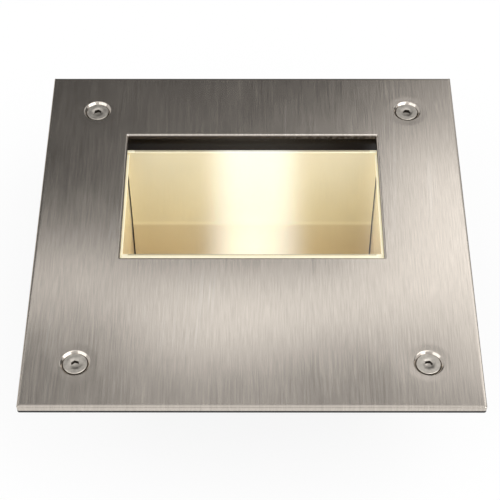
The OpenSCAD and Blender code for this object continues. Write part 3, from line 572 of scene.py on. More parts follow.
class Effect(Enum):
    """The shared effects, each a node group that is built once."""

    BRUSHING = "brushing"
    GRAIN = "grain"
    WEAR = "edge_wear"
    DUST = "dust"
    TURNING = "turning"
    MOTTLE = "mottle"


class Group(Wiring):
    """A node group with a Vector input, value inputs and value outputs."""

    def __init__(self, effect: Effect, outputs: Sequence[str], **values: float) -> None:
        """Start the group.

        Args:
            effect: The effect, which names the group.
            outputs: The names of its outputs.
            **values: Its value inputs and their first values.
        """
        super().__init__(bpy.data.node_groups.new(effect.value, "ShaderNodeTree"))
        sides = self.tree.interface
        sides.new_socket("Vector", in_out="INPUT", socket_type="NodeSocketVector")
        for key, value in values.items():
            socket = sides.new_socket(key, in_out="INPUT", socket_type="NodeSocketFloat")
            socket.default_value = value
        for key in outputs:
            sides.new_socket(key, in_out="OUTPUT", socket_type="NodeSocketFloat")
        self.inner = self.tree.nodes.new("NodeGroupInput")
        self.outer = self.tree.nodes.new("NodeGroupOutput")

    def given(self, key: str) -> Term:
        """One of the group's inputs."""
        return Term(self, self.inner.outputs[key])

    def give(self, **values: Term) -> None:
        """Feed the group's outputs."""
        for key, value in values.items():
            self.put(self.outer.inputs[key], value)

    def cloud(self, detail: float) -> Term:
        """Noise at the group's Scale."""
        return self.noise(self.given("Vector"), self.given("Scale"), detail)


@dataclass
class EffectShelf:
    """Builds each shared effect once and hands it out."""

    made: dict[Effect, bpy.types.NodeTree] = field(default_factory=dict)
    broad: Triple = (1150.0, 38.0, 60.0)
    hairs: Triple = (2900.0, 95.0, 300.0)
    sway: Triple = (70.0, 45.0, 45.0)
    stray: Triple = (430.0, 5.0, 50.0)
    rare: Triple = (75.0, 14.0, 50.0)
    slant: float = 0.05
    ring_scale: float = 9000.0

    def get(self, effect: Effect) -> bpy.types.NodeTree:
        """Fetch an effect's group, building it if it is new.

        Args:
            effect: The effect.

        Returns:
            The node group.
        """
        if effect not in self.made:
            getattr(self, "_" + effect.value)()
        return self.made[effect]

    def _start(self, effect: Effect, *outputs: str, **values: float) -> Group:
        """Start an effect's group and put it on the shelf.

        Args:
            effect: The effect.
            *outputs: The names of its outputs.
            **values: Its value inputs and their first values.

        Returns:
            The group.
        """
        group = Group(effect, outputs, **values)
        self.made[effect] = group.tree
        return group

    def _brushing(self) -> None:
        """Fine lines along Y: Streak has broad ones, Fine the hairlines, Scratch a few stray ones."""
        wire = self._start(Effect.BRUSHING, "Streak", "Fine", "Scratch", Density=1.0)
        density = wire.given("Density")
        dense = wire.term("VectorMath", wire.given("Vector"), operation="SCALE", Scale=density)
        broad = wire.streaks(dense, self.broad, 4.0, 0.6)
        hairs = wire.streaks(dense, self.hairs, 4.0, 0.65)
        sway = wire.streaks(dense, self.sway)
        slanted = wire.term("VectorRotate", rotation_type="Z_AXIS", Vector=dense, Angle=self.slant)
        line = abs(wire.streaks(slanted, self.stray, 1.0) - 0.5).remap(0.012, 0.03, 1.0, 0.0)
        wire.give(
            Streak=(broad * 0.6 + sway * 0.4).remap(0.32, 0.68),
            Fine=hairs.remap(0.32, 0.68),
            Scratch=line * wire.streaks(slanted, self.rare, 1.0).remap(0.60, 0.68),
        )

    def _grain(self) -> None:
        """Fine random relief: Height for a bump and Value for small shifts of colour."""
        wire = self._start(Effect.GRAIN, "Height", "Value", Scale=1500.0)
        cell = wire.term(
            "TexVoronoi", output="Distance", feature="SMOOTH_F1",
            Vector=wire.given("Vector"), Scale=wire.given("Scale"),
        )
        cloud = wire.cloud(4.0)
        wire.give(Height=cell * 0.6 + cloud * 0.6, Value=cloud.remap(0.3, 0.7))

    def _edge_wear(self) -> None:
        """Rubbed edges: Mask is 1 where an edge is bare."""
        wire = self._start(Effect.WEAR, "Mask", Amount=0.5, Scale=900.0)
        sharp = wire.term("NewGeometry", output="Pointiness").remap(0.515, 0.56)
        wire.give(Mask=sharp * wire.cloud(5.0).remap(0.42, 0.62) * wire.given("Amount"))

    def _dust(self) -> None:
        """Settled dust: Mask is 1 where dust lies on faces that look up."""
        wire = self._start(Effect.DUST, "Mask", Amount=0.3, Scale=160.0)
        up = wire.split(wire.term("NewGeometry", output="Normal"))["Z"].remap(0.2, 0.95)
        wire.give(Mask=up * wire.cloud(6.0).remap(0.35, 0.75) * wire.given("Amount"))

    def _turning(self) -> None:
        """Rings from a lathe round the vector's Z axis."""
        wire = self._start(Effect.TURNING, "Height", "Value", Pitch=0.00018)
        at = wire.split(wire.given("Vector"))
        radius = wire.math("SQRT", at["X"] * at["X"] + at["Y"] * at["Y"])
        wave = wire.math("SINE", radius / wire.given("Pitch") * (2 * math.pi))
        ring = wire.noise(wire.term("CombineXYZ", radius * self.ring_scale), 1.0, 2.0)
        wire.give(Height=wave * 0.3 + ring, Value=ring.remap(0.3, 0.7))

    def _mottle(self) -> None:
        """Slow cloudy change over a surface."""
        wire = self._start(Effect.MOTTLE, "Value", Scale=40.0)
        wire.give(Value=wire.cloud(5.0).remap(0.3, 0.7))


SHELF = EffectShelf()


class Recipe(Wiring):
    """A material with one Principled shader, being wired."""

    def __init__(self, name: str) -> None:
        """Start a material.

        Args:
            name: The material's name.
        """
        self.material = bpy.data.materials.new(name)
        self.material.use_nodes = True
        super().__init__(self.material.node_tree)
        self.shader = self.tree.nodes["Principled BSDF"]
        self.place = self.term("TexCoord", output="Object")

    def effect(self, effect: Effect, vector: Term | None = None, **values: float) -> dict[str, Term]:
        """Place a shared effect.

        Args:
            effect: Which effect.
            vector: The coordinates it reads, or nothing for Object coordinates.
            **values: Its value inputs.

        Returns:
            Its outputs by name.
        """
        tree = SHELF.get(effect)
        return self.outputs(self.node("Group", node_tree=tree, Vector=vector or self.place, **values))

    def cloud(self, scale: float) -> Term:
        """Place the slow cloudy change at a scale."""
        return self.effect(Effect.MOTTLE, Scale=scale)["Value"]

    def set(self, **sockets: object) -> None:
        """Feed the shader's sockets, with _ for a space."""
        for key, value in sockets.items():
            self.put(self.shader.inputs[key.replace("_", " ")], value)

    def bump(self, height: Term, depth: float) -> None:
        """Feed a height of a given depth into the shader's normal."""
        self.set(Normal=self.term("Bump", Height=height, Strength=1.0, Distance=depth * MM))

    def overlay(self, share: Term, other: Term) -> None:
        """Mix another shader over the material's own."""
        mixed = self.term("MixShader", share, self.shader.outputs[0], other)
        self.put(self.tree.nodes["Material Output"].inputs["Surface"], mixed)


# ---------------------------------------------------------------- finishes


@dataclass(frozen=True)
class Finish:
    """A finish, by its material's name and its colour."""

    name: str
    colour: Colour

    def shade(self, factor: float) -> Colour:
        """The colour, darker or lighter."""
        return tuple(min(1.0, part * factor) for part in self.colour)

    def wire(self, recipe: Recipe) -> None:
        """Wire the material, each kind of finish in its own way.

        Args:
            recipe: The material.
        """
        raise NotImplementedError

    def make(self) -> bpy.types.Material:
        """Build the material.

        Returns:
            The material.
        """
        recipe = Recipe(self.name)
        self.wire(recipe)
        return recipe.material


@dataclass(frozen=True)
class BrushedPlate(Finish):
    """Stainless sheet brushed along Y, cut and deburred, and pressed in a little at its screws."""

    name: str = "brushed_stainless_plate"
    colour: Colour = (0.60, 0.545, 0.485)
    stain: Colour = (0.44, 0.40, 0.36)
    scratch: Colour = (0.86, 0.82, 0.76)
    roughness: float = 0.155
    rough_shift: float = 0.022
    anisotropy: float = 0.62
    hairline: float = 0.0016
    screw_spot: float = 57.5
    dimple: float = 0.016
    dimple_from: float = 4.7
    dimple_to: float = 8.0

    def wire(self, recipe: Recipe) -> None:
        """Wire the brushed steel.

        Args:
            recipe: The material.
        """
        tangent = recipe.term("Tangent", direction_type="UV_MAP", uv_map="brush")
        recipe.set(Metallic=1.0, Anisotropic=self.anisotropy, Tangent=tangent)
        brushed = recipe.effect(Effect.BRUSHING, Density=1.0)
        streak, fine = brushed["Streak"], brushed["Fine"]
        base = recipe.mix(streak * 0.4 + fine * 0.6, self.shade(0.80), self.shade(1.15))
        base = recipe.mix(recipe.cloud(22.0) * 0.12, base, self.stain)
        base = recipe.mix(brushed["Scratch"] * 0.16, base, self.scratch)
        rough = streak.remap(0.0, 1.0, -self.rough_shift, self.rough_shift) + self.roughness
        recipe.set(Base_Color=base, Roughness=rough)
        at = recipe.split(recipe.place)
        x, y = (abs(at[axis]) - self.screw_spot * MM for axis in "XY")
        pressed = recipe.math("SQRT", x * x + y * y).remap(
            self.dimple_from * MM, self.dimple_to * MM, -self.dimple, 0.0, smooth=True
        )
        recipe.bump(fine * self.hairline + pressed, 1.0)


@dataclass(frozen=True)
class TurnedMetal(Finish):
    """Metal turned on a lathe, with rings about each piece's own axis from its UV map."""

    roughness: float = 0.28
    ring: float = 0.006
    own_axis: bool = False
    shift: float = 0.18
    cloud_scale: float = 420.0

    def wire(self, recipe: Recipe) -> None:
        """Wire the turned metal.

        Args:
            recipe: The material.
        """
        vector = recipe.term("UVMap", uv_map="axis") if self.own_axis else recipe.place
        rings = recipe.effect(Effect.TURNING, vector, Pitch=0.00016)
        cloud = recipe.cloud(self.cloud_scale)
        worn = recipe.effect(Effect.WEAR, Amount=0.5, Scale=1500.0)["Mask"]
        tone = rings["Value"] * 0.5 + cloud * 0.5
        base = recipe.mix(tone, self.shade(1 - self.shift), self.shade(1 + self.shift / 2))
        rough = cloud.remap(0.0, 1.0, self.roughness - 0.06, self.roughness + 0.08)
        recipe.set(Metallic=1.0, Base_Color=recipe.mix(worn, base, self.shade(1.35)), Roughness=rough)
        recipe.bump(rings["Height"] if self.own_axis else cloud, self.ring)


@dataclass(frozen=True)
class GoldSheet(Finish):
    """Gold anodised aluminium sheet, rolled, with the light source's light painted on it as a glow.

    The painted light lies as a bright band down the middle, over a painted glow that fades with
    depth and near the near wall, and as painted highlights along the folded hems and the bend.
    Below the bend the sheet's colour is painted darker and browner, as shade. Places on the sheet
    are in metres, as the shader reads them.
    """

    name: str = "gold_anodised_sheet"
    colour: Colour = (0.86, 0.78, 0.58)
    stain: Colour = (0.66, 0.52, 0.30)
    painted_shade_below_bend: Colour = (0.62, 0.50, 0.34)
    painted_hot_band: Colour = (0.60, 0.605, 0.585)
    painted_glow_high: Colour = (0.245, 0.215, 0.148)
    painted_glow_low: Colour = (0.050, 0.039, 0.028)
    painted_glow_streak: Colour = (0.30, 0.22, 0.12)
    painted_hem_glow: Colour = (0.60, 0.55, 0.40)
    unlit: Colour = (0.0, 0.0, 0.0)
    roughness: float = 0.36
    grain: float = 0.0015
    low: float = 0.022
    high: float = 0.0525
    bend: float = 0.0292
    bend_soft: float = 0.0012
    painted_bend_highlight: Ring = (0.0003, 0.0007)
    middle: float = 0.0010
    spread: float = 0.0163
    narrowing: float = 0.0010
    edge: float = 4.0
    painted_glow_tilt: float = 0.10 / 0.045
    side_hem: Ring = (0.0432, 0.0434)
    near_hem: Ring = (-0.0082, -0.0080)
    hem_above: Ring = (0.0004, 0.0006)
    wall_reach: float = 0.014

    def wire(self, recipe: Recipe) -> None:
        """Wire the gold sheet and the light painted on it.

        Args:
            recipe: The material.
        """
        rolled = recipe.effect(Effect.BRUSHING, Density=0.8)
        x, y, z = recipe.split(recipe.place).values()
        # Painted shade: below the bend the sheet's colour is mixed darker and browner.
        under = z.remap(self.bend - self.bend_soft, self.bend, 1.0, 0.0, smooth=True)
        base = recipe.mix(recipe.cloud(60.0), self.shade(0.93), self.colour)
        base = recipe.mix(rolled["Fine"] * 0.12, base, self.stain)
        base = recipe.mix(under * 0.55, base, self.painted_shade_below_bend)
        rough = rolled["Streak"].remap(0.0, 1.0, self.roughness - 0.04, self.roughness + 0.05)
        recipe.set(Metallic=1.0, Base_Color=base, Roughness=rough, Emission_Strength=1.0)
        recipe.bump(recipe.effect(Effect.GRAIN, Scale=2600.0)["Height"], self.grain)

        # Painted light: the emission from here on paints the light source's light on the sheet, a bright
        # band down the middle over a glow that fades with depth, leans to one side and fades out near the
        # near wall.
        depth = z.remap(self.low, self.high)
        off = (x - self.middle) / recipe.math("SUBTRACT", self.spread, depth * self.narrowing)
        band = recipe.math("EXPONENT", abs(off) ** self.edge * -1.0)
        painted_glow_wash = recipe.mix(depth, self.painted_glow_low, self.painted_glow_high)
        painted_glow_wash = recipe.mix(rolled["Streak"] * 0.18, painted_glow_wash, self.painted_glow_streak)
        sideways = x * self.painted_glow_tilt + 1.0
        level = recipe.term("CombineColor", sideways, sideways, sideways)
        glow = recipe.mix(band, recipe.mix(1.0, painted_glow_wash, level, "MULTIPLY"), self.painted_hot_band)
        glow = recipe.mix(y.remap(0.0, self.wall_reach, 0.2, 1.0), self.unlit, glow)
        # Painted highlights: a thin line along the bend and the folded hems' top edges glow bright cream.
        glow = recipe.mix(abs(z - self.bend).remap(*self.painted_bend_highlight, 0.14, 0.0), glow, self.painted_hem_glow)
        top = z.remap(*(self.high + above for above in self.hem_above))
        rim = recipe.math("MAXIMUM", abs(x).remap(*self.side_hem), y.remap(*self.near_hem, 1.0, 0.0))
        recipe.set(Emission_Color=recipe.mix(top * rim, glow, self.painted_hem_glow))


@dataclass(frozen=True)
class Coated(Finish):
    """Powder coat or moulded plastic: a colour with fine relief, wear and dust."""

    roughness: float = 0.5
    scale: float = 1400.0
    depth: float = 0.012
    worn: Colour = (0.45, 0.45, 0.45)
    wear: float = 0.35
    dust: float = 0.12
    metal: float = 0.0
    shift: float = 0.12
    dust_tone: Colour = (0.42, 0.39, 0.34)

    def wire(self, recipe: Recipe) -> None:
        """Wire the coat.

        Args:
            recipe: The material.
        """
        grain = recipe.effect(Effect.GRAIN, Scale=self.scale)
        cloud = recipe.cloud(35.0)
        tone = grain["Value"] * 0.5 + cloud * 0.5
        base = recipe.mix(tone, self.shade(1 - self.shift), self.shade(1 + self.shift))
        base = recipe.mix(recipe.effect(Effect.WEAR, Amount=self.wear)["Mask"], base, self.worn)
        lying = recipe.effect(Effect.DUST, Amount=self.dust)["Mask"]
        rough = cloud.remap(0.0, 1.0, self.roughness - 0.05, self.roughness + 0.06) + lying * 0.3
        base = recipe.mix(lying, base, self.dust_tone)
        recipe.set(Metallic=self.metal, Base_Color=base, Roughness=rough)
        recipe.bump(grain["Height"], self.depth)


@dataclass(frozen=True)
class Milled(Finish):
    """Bare aluminium or tinned metal with straight tool marks along X."""

    roughness: float = 0.34
    density: float = 0.55
    turn: Triple = (0.0, 0.0, math.pi / 2)

    def wire(self, recipe: Recipe) -> None:
        """Wire the milled metal.

        Args:
            recipe: The material.
        """
        turned = recipe.term("Mapping", recipe.place, Rotation=self.turn)
        marks = recipe.effect(Effect.BRUSHING, turned, Density=self.density)
        worn = recipe.effect(Effect.WEAR, Amount=0.4)["Mask"]
        base = recipe.mix(marks["Fine"], self.shade(0.88), self.colour)
        base = recipe.mix(recipe.cloud(90.0) * 0.2, base, self.shade(0.7))
        rough = marks["Streak"].remap(0.0, 1.0, self.roughness - 0.06, self.roughness + 0.06)
        recipe.set(Metallic=1.0, Base_Color=recipe.mix(worn, base, self.shade(1.2)), Roughness=rough)
        recipe.bump(marks["Fine"], 0.004)


@dataclass(frozen=True)
class ClearPane(Finish):
    """Clear glass or silicone that lets shadow rays through."""

    index: float = 1.5
    roughness: float = 0.0

    def wire(self, recipe: Recipe) -> None:
        """Wire the clear pane.

        Args:
            recipe: The material.
        """
        smear = recipe.cloud(30.0)
        recipe.set(
            Metallic=0.0, Transmission_Weight=1.0, IOR=self.index,
            Base_Color=recipe.mix(smear, self.colour, self.shade(1.02)),
            Roughness=smear.remap(0.0, 1.0, self.roughness, self.roughness + 0.004),
        )
        shadow = recipe.term("LightPath", output="Is Shadow Ray")
        recipe.overlay(shadow, recipe.term("BsdfTransparent", Color=self.colour))


@dataclass(frozen=True)
class LitPhosphor(Finish):
    """The phosphor disc, lit."""

    name: str = "lit_phosphor"
    colour: Colour = (0.98, 0.80, 0.30)
    pale: Colour = (1.0, 0.88, 0.45)
    glow: Colour = (1.0, 0.92, 0.78)
    glow_pale: Colour = (1.0, 0.95, 0.86)

    def wire(self, recipe: Recipe) -> None:
        """Wire the lit disc.

        Args:
            recipe: The material.
        """
        dots = recipe.effect(Effect.GRAIN, Scale=1800.0)
        recipe.set(
            Roughness=0.5, Base_Color=recipe.mix(dots["Value"], self.colour, self.pale),
            Emission_Color=recipe.mix(dots["Value"], self.glow, self.glow_pale), Emission_Strength=1.0,
        )
        recipe.bump(dots["Height"], 0.01)


@dataclass(frozen=True)
class Insulation(Finish):
    """Extruded insulation, with an optional stripe down its length from the UV map."""

    stripe: Colour | None = None

    def wire(self, recipe: Recipe) -> None:
        """Wire the insulation.

        Args:
            recipe: The material.
        """
        grain = recipe.effect(Effect.GRAIN, Scale=1100.0)
        base = recipe.mix(grain["Value"], self.shade(0.85), self.shade(1.12))
        if self.stripe:
            girth = recipe.split(recipe.term("UVMap", uv_map="wrap"))["X"]
            band = recipe.math("SINE", girth * (2 * math.pi))
            base = recipe.mix(band.remap(0.28, 0.4), base, self.stripe)
        rough = grain["Value"].remap(0.0, 1.0, 0.36, 0.5)
        recipe.set(Coat_Weight=0.15, Coat_Roughness=0.3, Base_Color=base, Roughness=rough)
        recipe.bump(grain["Height"], 0.008)


@dataclass(frozen=True)
class PaleFloor(Finish):
    """The floor, lifted towards white where the camera, glass or metal sees it."""

    name: str = "pale_floor"
    colour: Colour = (0.90, 0.90, 0.90)
    lift: float = 0.88

    def wire(self, recipe: Recipe) -> None:
        """Wire the floor.

        Args:
            recipe: The material.
        """
        recipe.set(Roughness=0.9, Base_Color=recipe.mix(recipe.cloud(3.0), self.shade(0.985), self.colour))
        path = recipe.outputs(recipe.node("LightPath"))
        seen = recipe.math("MAXIMUM", path["Is Camera Ray"], path["Is Transmission Ray"])
        seen = recipe.math("MAXIMUM", seen, path["Is Glossy Ray"])
        recipe.overlay(seen * self.lift, recipe.term("Emission", Color=(1.0, 1.0, 1.0), Strength=1.0))


WHITE = (0.76, 0.76, 0.73)
PALE = (0.7, 0.7, 0.7)

# A coat's numbers: roughness, its grain's scale and depth, its worn colour, wear and dust.
FINISHES: dict[str, Finish] = {
    "plate": BrushedPlate(),
    # cut: a dark brown finish for the plate's window sides.
    "cut": Coated(
        "laser_cut_edge", (0.045, 0.032, 0.024), 0.5, 2200.0, 0.006, (0.30, 0.26, 0.22), 0.5, 0.0,
        metal=0.6, shift=0.3,
    ),
    "screw": TurnedMetal("turned_stainless", (0.57, 0.53, 0.475), 0.34, 0.003, True, 0.34, 1100.0),
    # socket: painted shade, a near-black finish for the screws' hex sockets and the gap round their heads.
    "socket": Coated(
        "forged_socket", (0.030, 0.022, 0.016), 0.45, 2400.0, 0.01, (0.3, 0.27, 0.23), 0.5, 0.0, metal=0.6
    ),
    "stud": TurnedMetal("drawn_stainless", (0.52, 0.505, 0.48), 0.3),
    "zinc": TurnedMetal("zinc_plate", (0.50, 0.52, 0.55), 0.3),
    "green_zinc": TurnedMetal("green_passivate", (0.26, 0.38, 0.14), 0.33),
    "brass": TurnedMetal("turned_brass", (0.66, 0.46, 0.17), 0.27),
    "gold": GoldSheet(),
    "foam": Coated(
        "closed_cell_foam", (0.018, 0.018, 0.019), 0.85, 1700.0, 0.05, (0.05, 0.05, 0.05), 0.2, 0.1
    ),
    "silicone": Coated(
        "black_silicone", (0.012, 0.012, 0.012), 0.42, 900.0, 0.004, (0.03, 0.03, 0.03), 0.2, 0.15
    ),
    "frame": Coated(
        "dark_polyamide", (0.016, 0.010, 0.006), 0.55, 1300.0, 0.01, (0.05, 0.04, 0.03), 0.4, 0.1
    ),
    "powder": Coated(
        "umber_powder_coat", (0.024, 0.016, 0.009), 0.5, 1500.0, 0.024, (0.16, 0.14, 0.12), 0.22, 0.05
    ),
    "nylon": Coated(
        "grey_polyamide", (0.060, 0.060, 0.062), 0.44, 1200.0, 0.008, (0.11, 0.11, 0.11), 0.15, 0.06
    ),
    "milled": Milled("milled_aluminium", (0.66, 0.67, 0.69)),
    "tinned": Milled("tinned_copper", (0.66, 0.66, 0.66), 0.3),
    "pad": Coated("thermal_pad", (0.26, 0.32, 0.42), 0.8, 1600.0, 0.02, (0.3, 0.35, 0.45), 0.1, 0.0),
    "board": Coated(
        "white_solder_mask", WHITE, 0.32, 1200.0, 0.002, (0.5, 0.5, 0.5), 0.2, 0.03, shift=0.04
    ),
    "ceramic": Coated(
        "chip_ceramic", (0.70, 0.71, 0.66), 0.3, 1500.0, 0.002, (0.6, 0.6, 0.6), 0.1, 0.0, shift=0.04
    ),
    "holder": Coated(
        "white_heatproof_plastic", WHITE, 0.42, 1400.0, 0.006, (0.8, 0.8, 0.8), 0.1, 0.06, shift=0.05
    ),
    "driver": Coated(
        "driver_case_grey", (0.60, 0.60, 0.59), 0.45, 1300.0, 0.01, PALE, 0.2, 0.1, shift=0.06
    ),
    "lid": Coated(
        "driver_lid_white", (0.80, 0.80, 0.78), 0.42, 1300.0, 0.01, (0.85, 0.85, 0.85), 0.2, 0.1, shift=0.05
    ),
    "block": Coated(
        "terminal_grey", (0.62, 0.62, 0.60), 0.4, 1400.0, 0.006, PALE, 0.2, 0.06, shift=0.05
    ),
    "lever": Coated(
        "lever_grey", (0.075, 0.09, 0.105), 0.42, 1400.0, 0.008, (0.14, 0.16, 0.18), 0.4, 0.05
    ),
    "glass": ClearPane("clear_glass", (0.975, 0.99, 0.983)),
    "lens": ClearPane("clear_silicone_lens", (0.97, 0.97, 0.95), 1.41, 0.03),
    "phosphor": LitPhosphor(),
    "lead_live": Insulation("insulation_brown", (0.16, 0.062, 0.026)),
    "lead_neutral": Insulation("insulation_blue", (0.022, 0.085, 0.34)),
    "lead_earth": Insulation("insulation_green_yellow", (0.07, 0.30, 0.045), (0.75, 0.56, 0.02)),
    "lead_led_plus": Insulation("insulation_red", (0.46, 0.014, 0.010)),
    "lead_led_minus": Insulation("insulation_black", (0.013, 0.013, 0.014)),
}


# ---------------------------------------------------------------- studio


@dataclass(frozen=True)
class PhotoCamera:
    """The camera, at the photograph's place: angles in degrees."""

    lens: float = 112.51
    sensor: float = 36.0
    azimuth: float = 0.267
    elevation: float = 50.215
    roll: float = -0.186
    distance: float = 538.4
    target: Triple = (-0.68, -9.80, 60.0)

    def build(self) -> None:
        """Make the camera and let the scene use it."""
        azimuth, elevation, roll = map(math.radians, (self.azimuth, self.elevation, self.roll))
        back = Vector((
            math.sin(azimuth) * math.cos(elevation),
            -math.cos(azimuth) * math.cos(elevation),
            math.sin(elevation),
        ))
        side = Vector((0.0, 0.0, 1.0)).cross(back).normalized()
        up = back.cross(side)
        cos, sin = math.cos(roll), math.sin(roll)
        turn = Matrix((cos * side + sin * up, cos * up - sin * side, back)).transposed()
        data = bpy.data.cameras.new("photo_camera")
        data.lens = self.lens
        data.sensor_width = self.sensor
        camera = Bench.placed("photo_camera", data)
        place = (Vector(self.target) + self.distance * back) * MM
        camera.matrix_world = Matrix.Translation(place) @ turn.to_4x4()
        bpy.context.scene.camera = camera


@dataclass(frozen=True)
class Panel:
    """A soft-edged panel of the tent: brighter or darker cloth, between angles in degrees."""

    level: float
    azimuth: tuple[float, float]
    elevation: tuple[float, float]
    blur: float


@dataclass(frozen=True)
class Lamp:
    """A square lamp, with its place and side in metres and its power in watts."""

    name: str
    place: Triple
    power: float
    side: float = 1.0


@dataclass
class Studio:
    """Plain surroundings: a pale floor, a soft tent of light and two lamps."""

    floor_side: float = 8000.0
    floor_z: float = -0.05
    aim: Triple = (0.0, 0.0, 0.05)
    lamps: tuple[Lamp, ...] = (
        Lamp("key_lamp", (0.55, -0.35, 0.9), 7.0), Lamp("fill_lamp", (-0.7, -0.5, 0.7), 4.0),
    )
    tent: float = 0.74
    panels: tuple[Panel, ...] = (
        Panel(1.00, (-200.0, 200.0), (60.0, 100.0), 2.0),
        Panel(0.12, (-35.0, 75.0), (-5.0, 62.0), 5.0),
        Panel(0.34, (-50.0, 50.0), (54.4, 61.5), 1.5),
        Panel(0.90, (-50.0, 50.0), (57.2, 66.0), 1.2),
        Panel(0.26, (-6.5, 4.0), (44.9, 46.6), 0.7),
        Panel(0.60, (8.5, 50.0), (20.0, 52.0), 2.5),
        Panel(1.50, (-50.0, -7.6), (49.5, 51.6), 0.8),
        Panel(1.75, (-7.6, 0.5), (51.0, 54.3), 1.0),
        Panel(1.80, (-0.5, 50.0), (51.2, 53.8), 0.9),
        Panel(1.76, (6.5, 50.0), (45.7, 51.4), 1.0),
        Panel(1.30, (7.6, 50.0), (50.9, 54.0), 0.9),
        Panel(0.03, (4.6, 10.6), (53.0, 56.4), 0.7),
        Panel(0.95, (10.9, 12.6), (52.6, 55.4), 0.6),
    )

    def build(self) -> None:
        """Make the floor, the surroundings and the lamps."""
        bpy.context.scene.view_settings.view_transform = "Standard"
        self._floor()
        self._world()
        self._lamps()

    def _floor(self) -> None:
        """Lay the floor under the light."""
        Bench.clear()
        bpy.ops.mesh.primitive_plane_add(size=self.floor_side * MM, location=(0.0, 0.0, self.floor_z * MM))
        floor = Bench.added("floor")
        Bench.settle(floor)
        floor.data.materials.append(PaleFloor().make())

    def _world(self) -> None:
        """Surround the light with a tent whose panels the metal mirrors."""
        world = bpy.data.worlds.new("tent")
        bpy.context.scene.world = world
        world.use_nodes = True
        wire = Wiring(world.node_tree)
        way = wire.split(wire.term("TexCoord", output="Generated"))
        turn = wire.math("DEGREES", wire.math("ARCTAN2", way["X"], way["Y"]))
        up = wire.math("DEGREES", wire.math("ARCSINE", way["Z"]))
        level: object = self.tent
        for panel in self.panels:
            across, along = (
                angle.remap(low - panel.blur, low + panel.blur, smooth=True)
                * angle.remap(high - panel.blur, high + panel.blur, 1.0, 0.0, smooth=True)
                for angle, (low, high) in ((turn, panel.azimuth), (up, panel.elevation))
            )
            level = wire.between(across * along, level, panel.level)
        level = wire.between(wire.term("LightPath", output="Is Camera Ray"), level, 1.0)
        sky = world.node_tree.nodes["Background"]
        wire.put(sky.inputs["Color"], wire.term("CombineColor", level, level, level))

    def _lamps(self) -> None:
        """Hang the lamps, which look at the middle of the light."""
        for row in self.lamps:
            data = bpy.data.lights.new(row.name, "AREA")
            data.shape = "SQUARE"
            data.size = row.side
            data.energy = row.power
            lamp = Bench.placed(row.name, data)
            lamp.location = row.place
            lamp.rotation_euler = (Vector(row.place) - Vector(self.aim)).to_track_quat("Z", "Y").to_euler()


# ---------------------------------------------------------------- sub-assemblies


@dataclass(frozen=True)
class Dress:
    """How CAD nodes, named with spaces between, are carried over: finish, edges' width and faces."""

    nodes: str
    finish: str
    edge: float
    steps: int = 2


@dataclass
class SubAssembly:
    """Pieces of the light that are made and dressed together."""

    materials: dict[str, bpy.types.Material]
    carried: tuple[Dress, ...] = ()
    pieces: list[bpy.types.Object] = field(default_factory=list, init=False)

    def build(self) -> None:
        """Round and dress the CAD nodes that are carried over."""
        for dress in self.carried:
            for node in dress.nodes.split():
                self.keep(Bench.from_node(node, dress.edge, dress.steps), node, dress.finish)

    def keep(self, piece: bpy.types.Object, node: str, *finishes: str) -> None:
        """Let a piece stand for a CAD node on its body, dress it and report it.

        Args:
            piece: The finished piece.
            node: The CAD node.
            *finishes: Its finishes, in its slots' order.
        """
        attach(piece, frame["nodes"][node]["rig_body"])
        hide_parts(node)
        piece.data.materials.clear()
        for finish in finishes:
            piece.data.materials.append(self.materials[finish])
        self.pieces.append(piece)
        LOG.info("%s: %s, %d faces", type(self).__name__, piece.name, len(piece.data.polygons))


@dataclass
class Housing(SubAssembly):
    """The die-cast housing and its thread inserts."""

    carried: tuple[Dress, ...] = (Dress("housing", "powder", 0.3), Dress("thread_inserts", "brass", 0.1))


@dataclass
class Reflector(SubAssembly):
    """The folded gold sheet under the window."""

    carried: tuple[Dress, ...] = (
        Dress("reflector_tray reflector_cheek_left reflector_cheek_right", "gold", 0.18, 3),
        Dress("reflector_screws", "zinc", 0.08),
        Dress("reflector_rivets", "milled", 0.15),
    )
    sheet_edge: float = 0.18
    lap: float = 0.22
    cut_from: float = 30.0

    def build(self) -> None:
        """Dress the slope, the other sheets, the screws and the rivets."""
        self._slope()
        super().build()

    def _slope(self) -> None:
        """Dress the slope, and let its long cut sides lie a little nearer to the cheeks."""
        slope = Bench.from_node("reflector_slope")
        with Bench.edit(slope, Pick.FACES):
            for way in (-1.0, 1.0):
                if Bench.select(
                    lambda spot, normal, way=way: normal.x * way > 0.9 and spot.x * way > self.cut_from * MM
                ):
                    bpy.ops.transform.translate(value=(way * self.lap * MM, 0.0, 0.0))
        Bench.round_edges(slope, self.sheet_edge, 3)
        self.keep(slope, "reflector_slope", "gold")


@dataclass
class LightSource(SubAssembly):
    """Board, chip, lens, holder and the spreader that they sit on."""

    carried: tuple[Dress, ...] = (
        Dress("heat_spreader", "milled", 0.25),
        Dress("spreader_screws", "zinc", 0.08),
        Dress("thermal_pad", "pad", 0.06),
        Dress("led_board", "board", 0.08),
        Dress("led_chip", "ceramic", 0.08),
        Dress("led_phosphor", "phosphor", 0.04),
        Dress("led_lens", "lens", 0.0),
        Dress("led_holder", "holder", 0.3, 3),
        Dress("holder_screws", "zinc", 0.06),
    )


@dataclass
class Driver(SubAssembly):
    """The driver's case, lid and screws."""

    carried: tuple[Dress, ...] = (
        Dress("driver_case", "driver", 0.5, 3),
        Dress("driver_lid", "lid", 0.4, 3),
        Dress("driver_screws", "zinc", 0.08),
    )


@dataclass
class Terminals(SubAssembly):
    """The terminal block, its levers, and the earth point."""

    carried: tuple[Dress, ...] = (
        Dress("terminal_block", "block", 0.25, 3),
        Dress("terminal_lever_live terminal_lever_neutral terminal_lever_earth", "lever", 0.2, 3),
        Dress("earth_ring", "tinned", 0.12),
        Dress("earth_screw", "green_zinc", 0.12),
    )


@dataclass(frozen=True)
class Lead:
    """An insulated lead: its CAD node, its diameter and the points of its route."""

    node: str
    diameter: float
    route: tuple[Triple, ...]


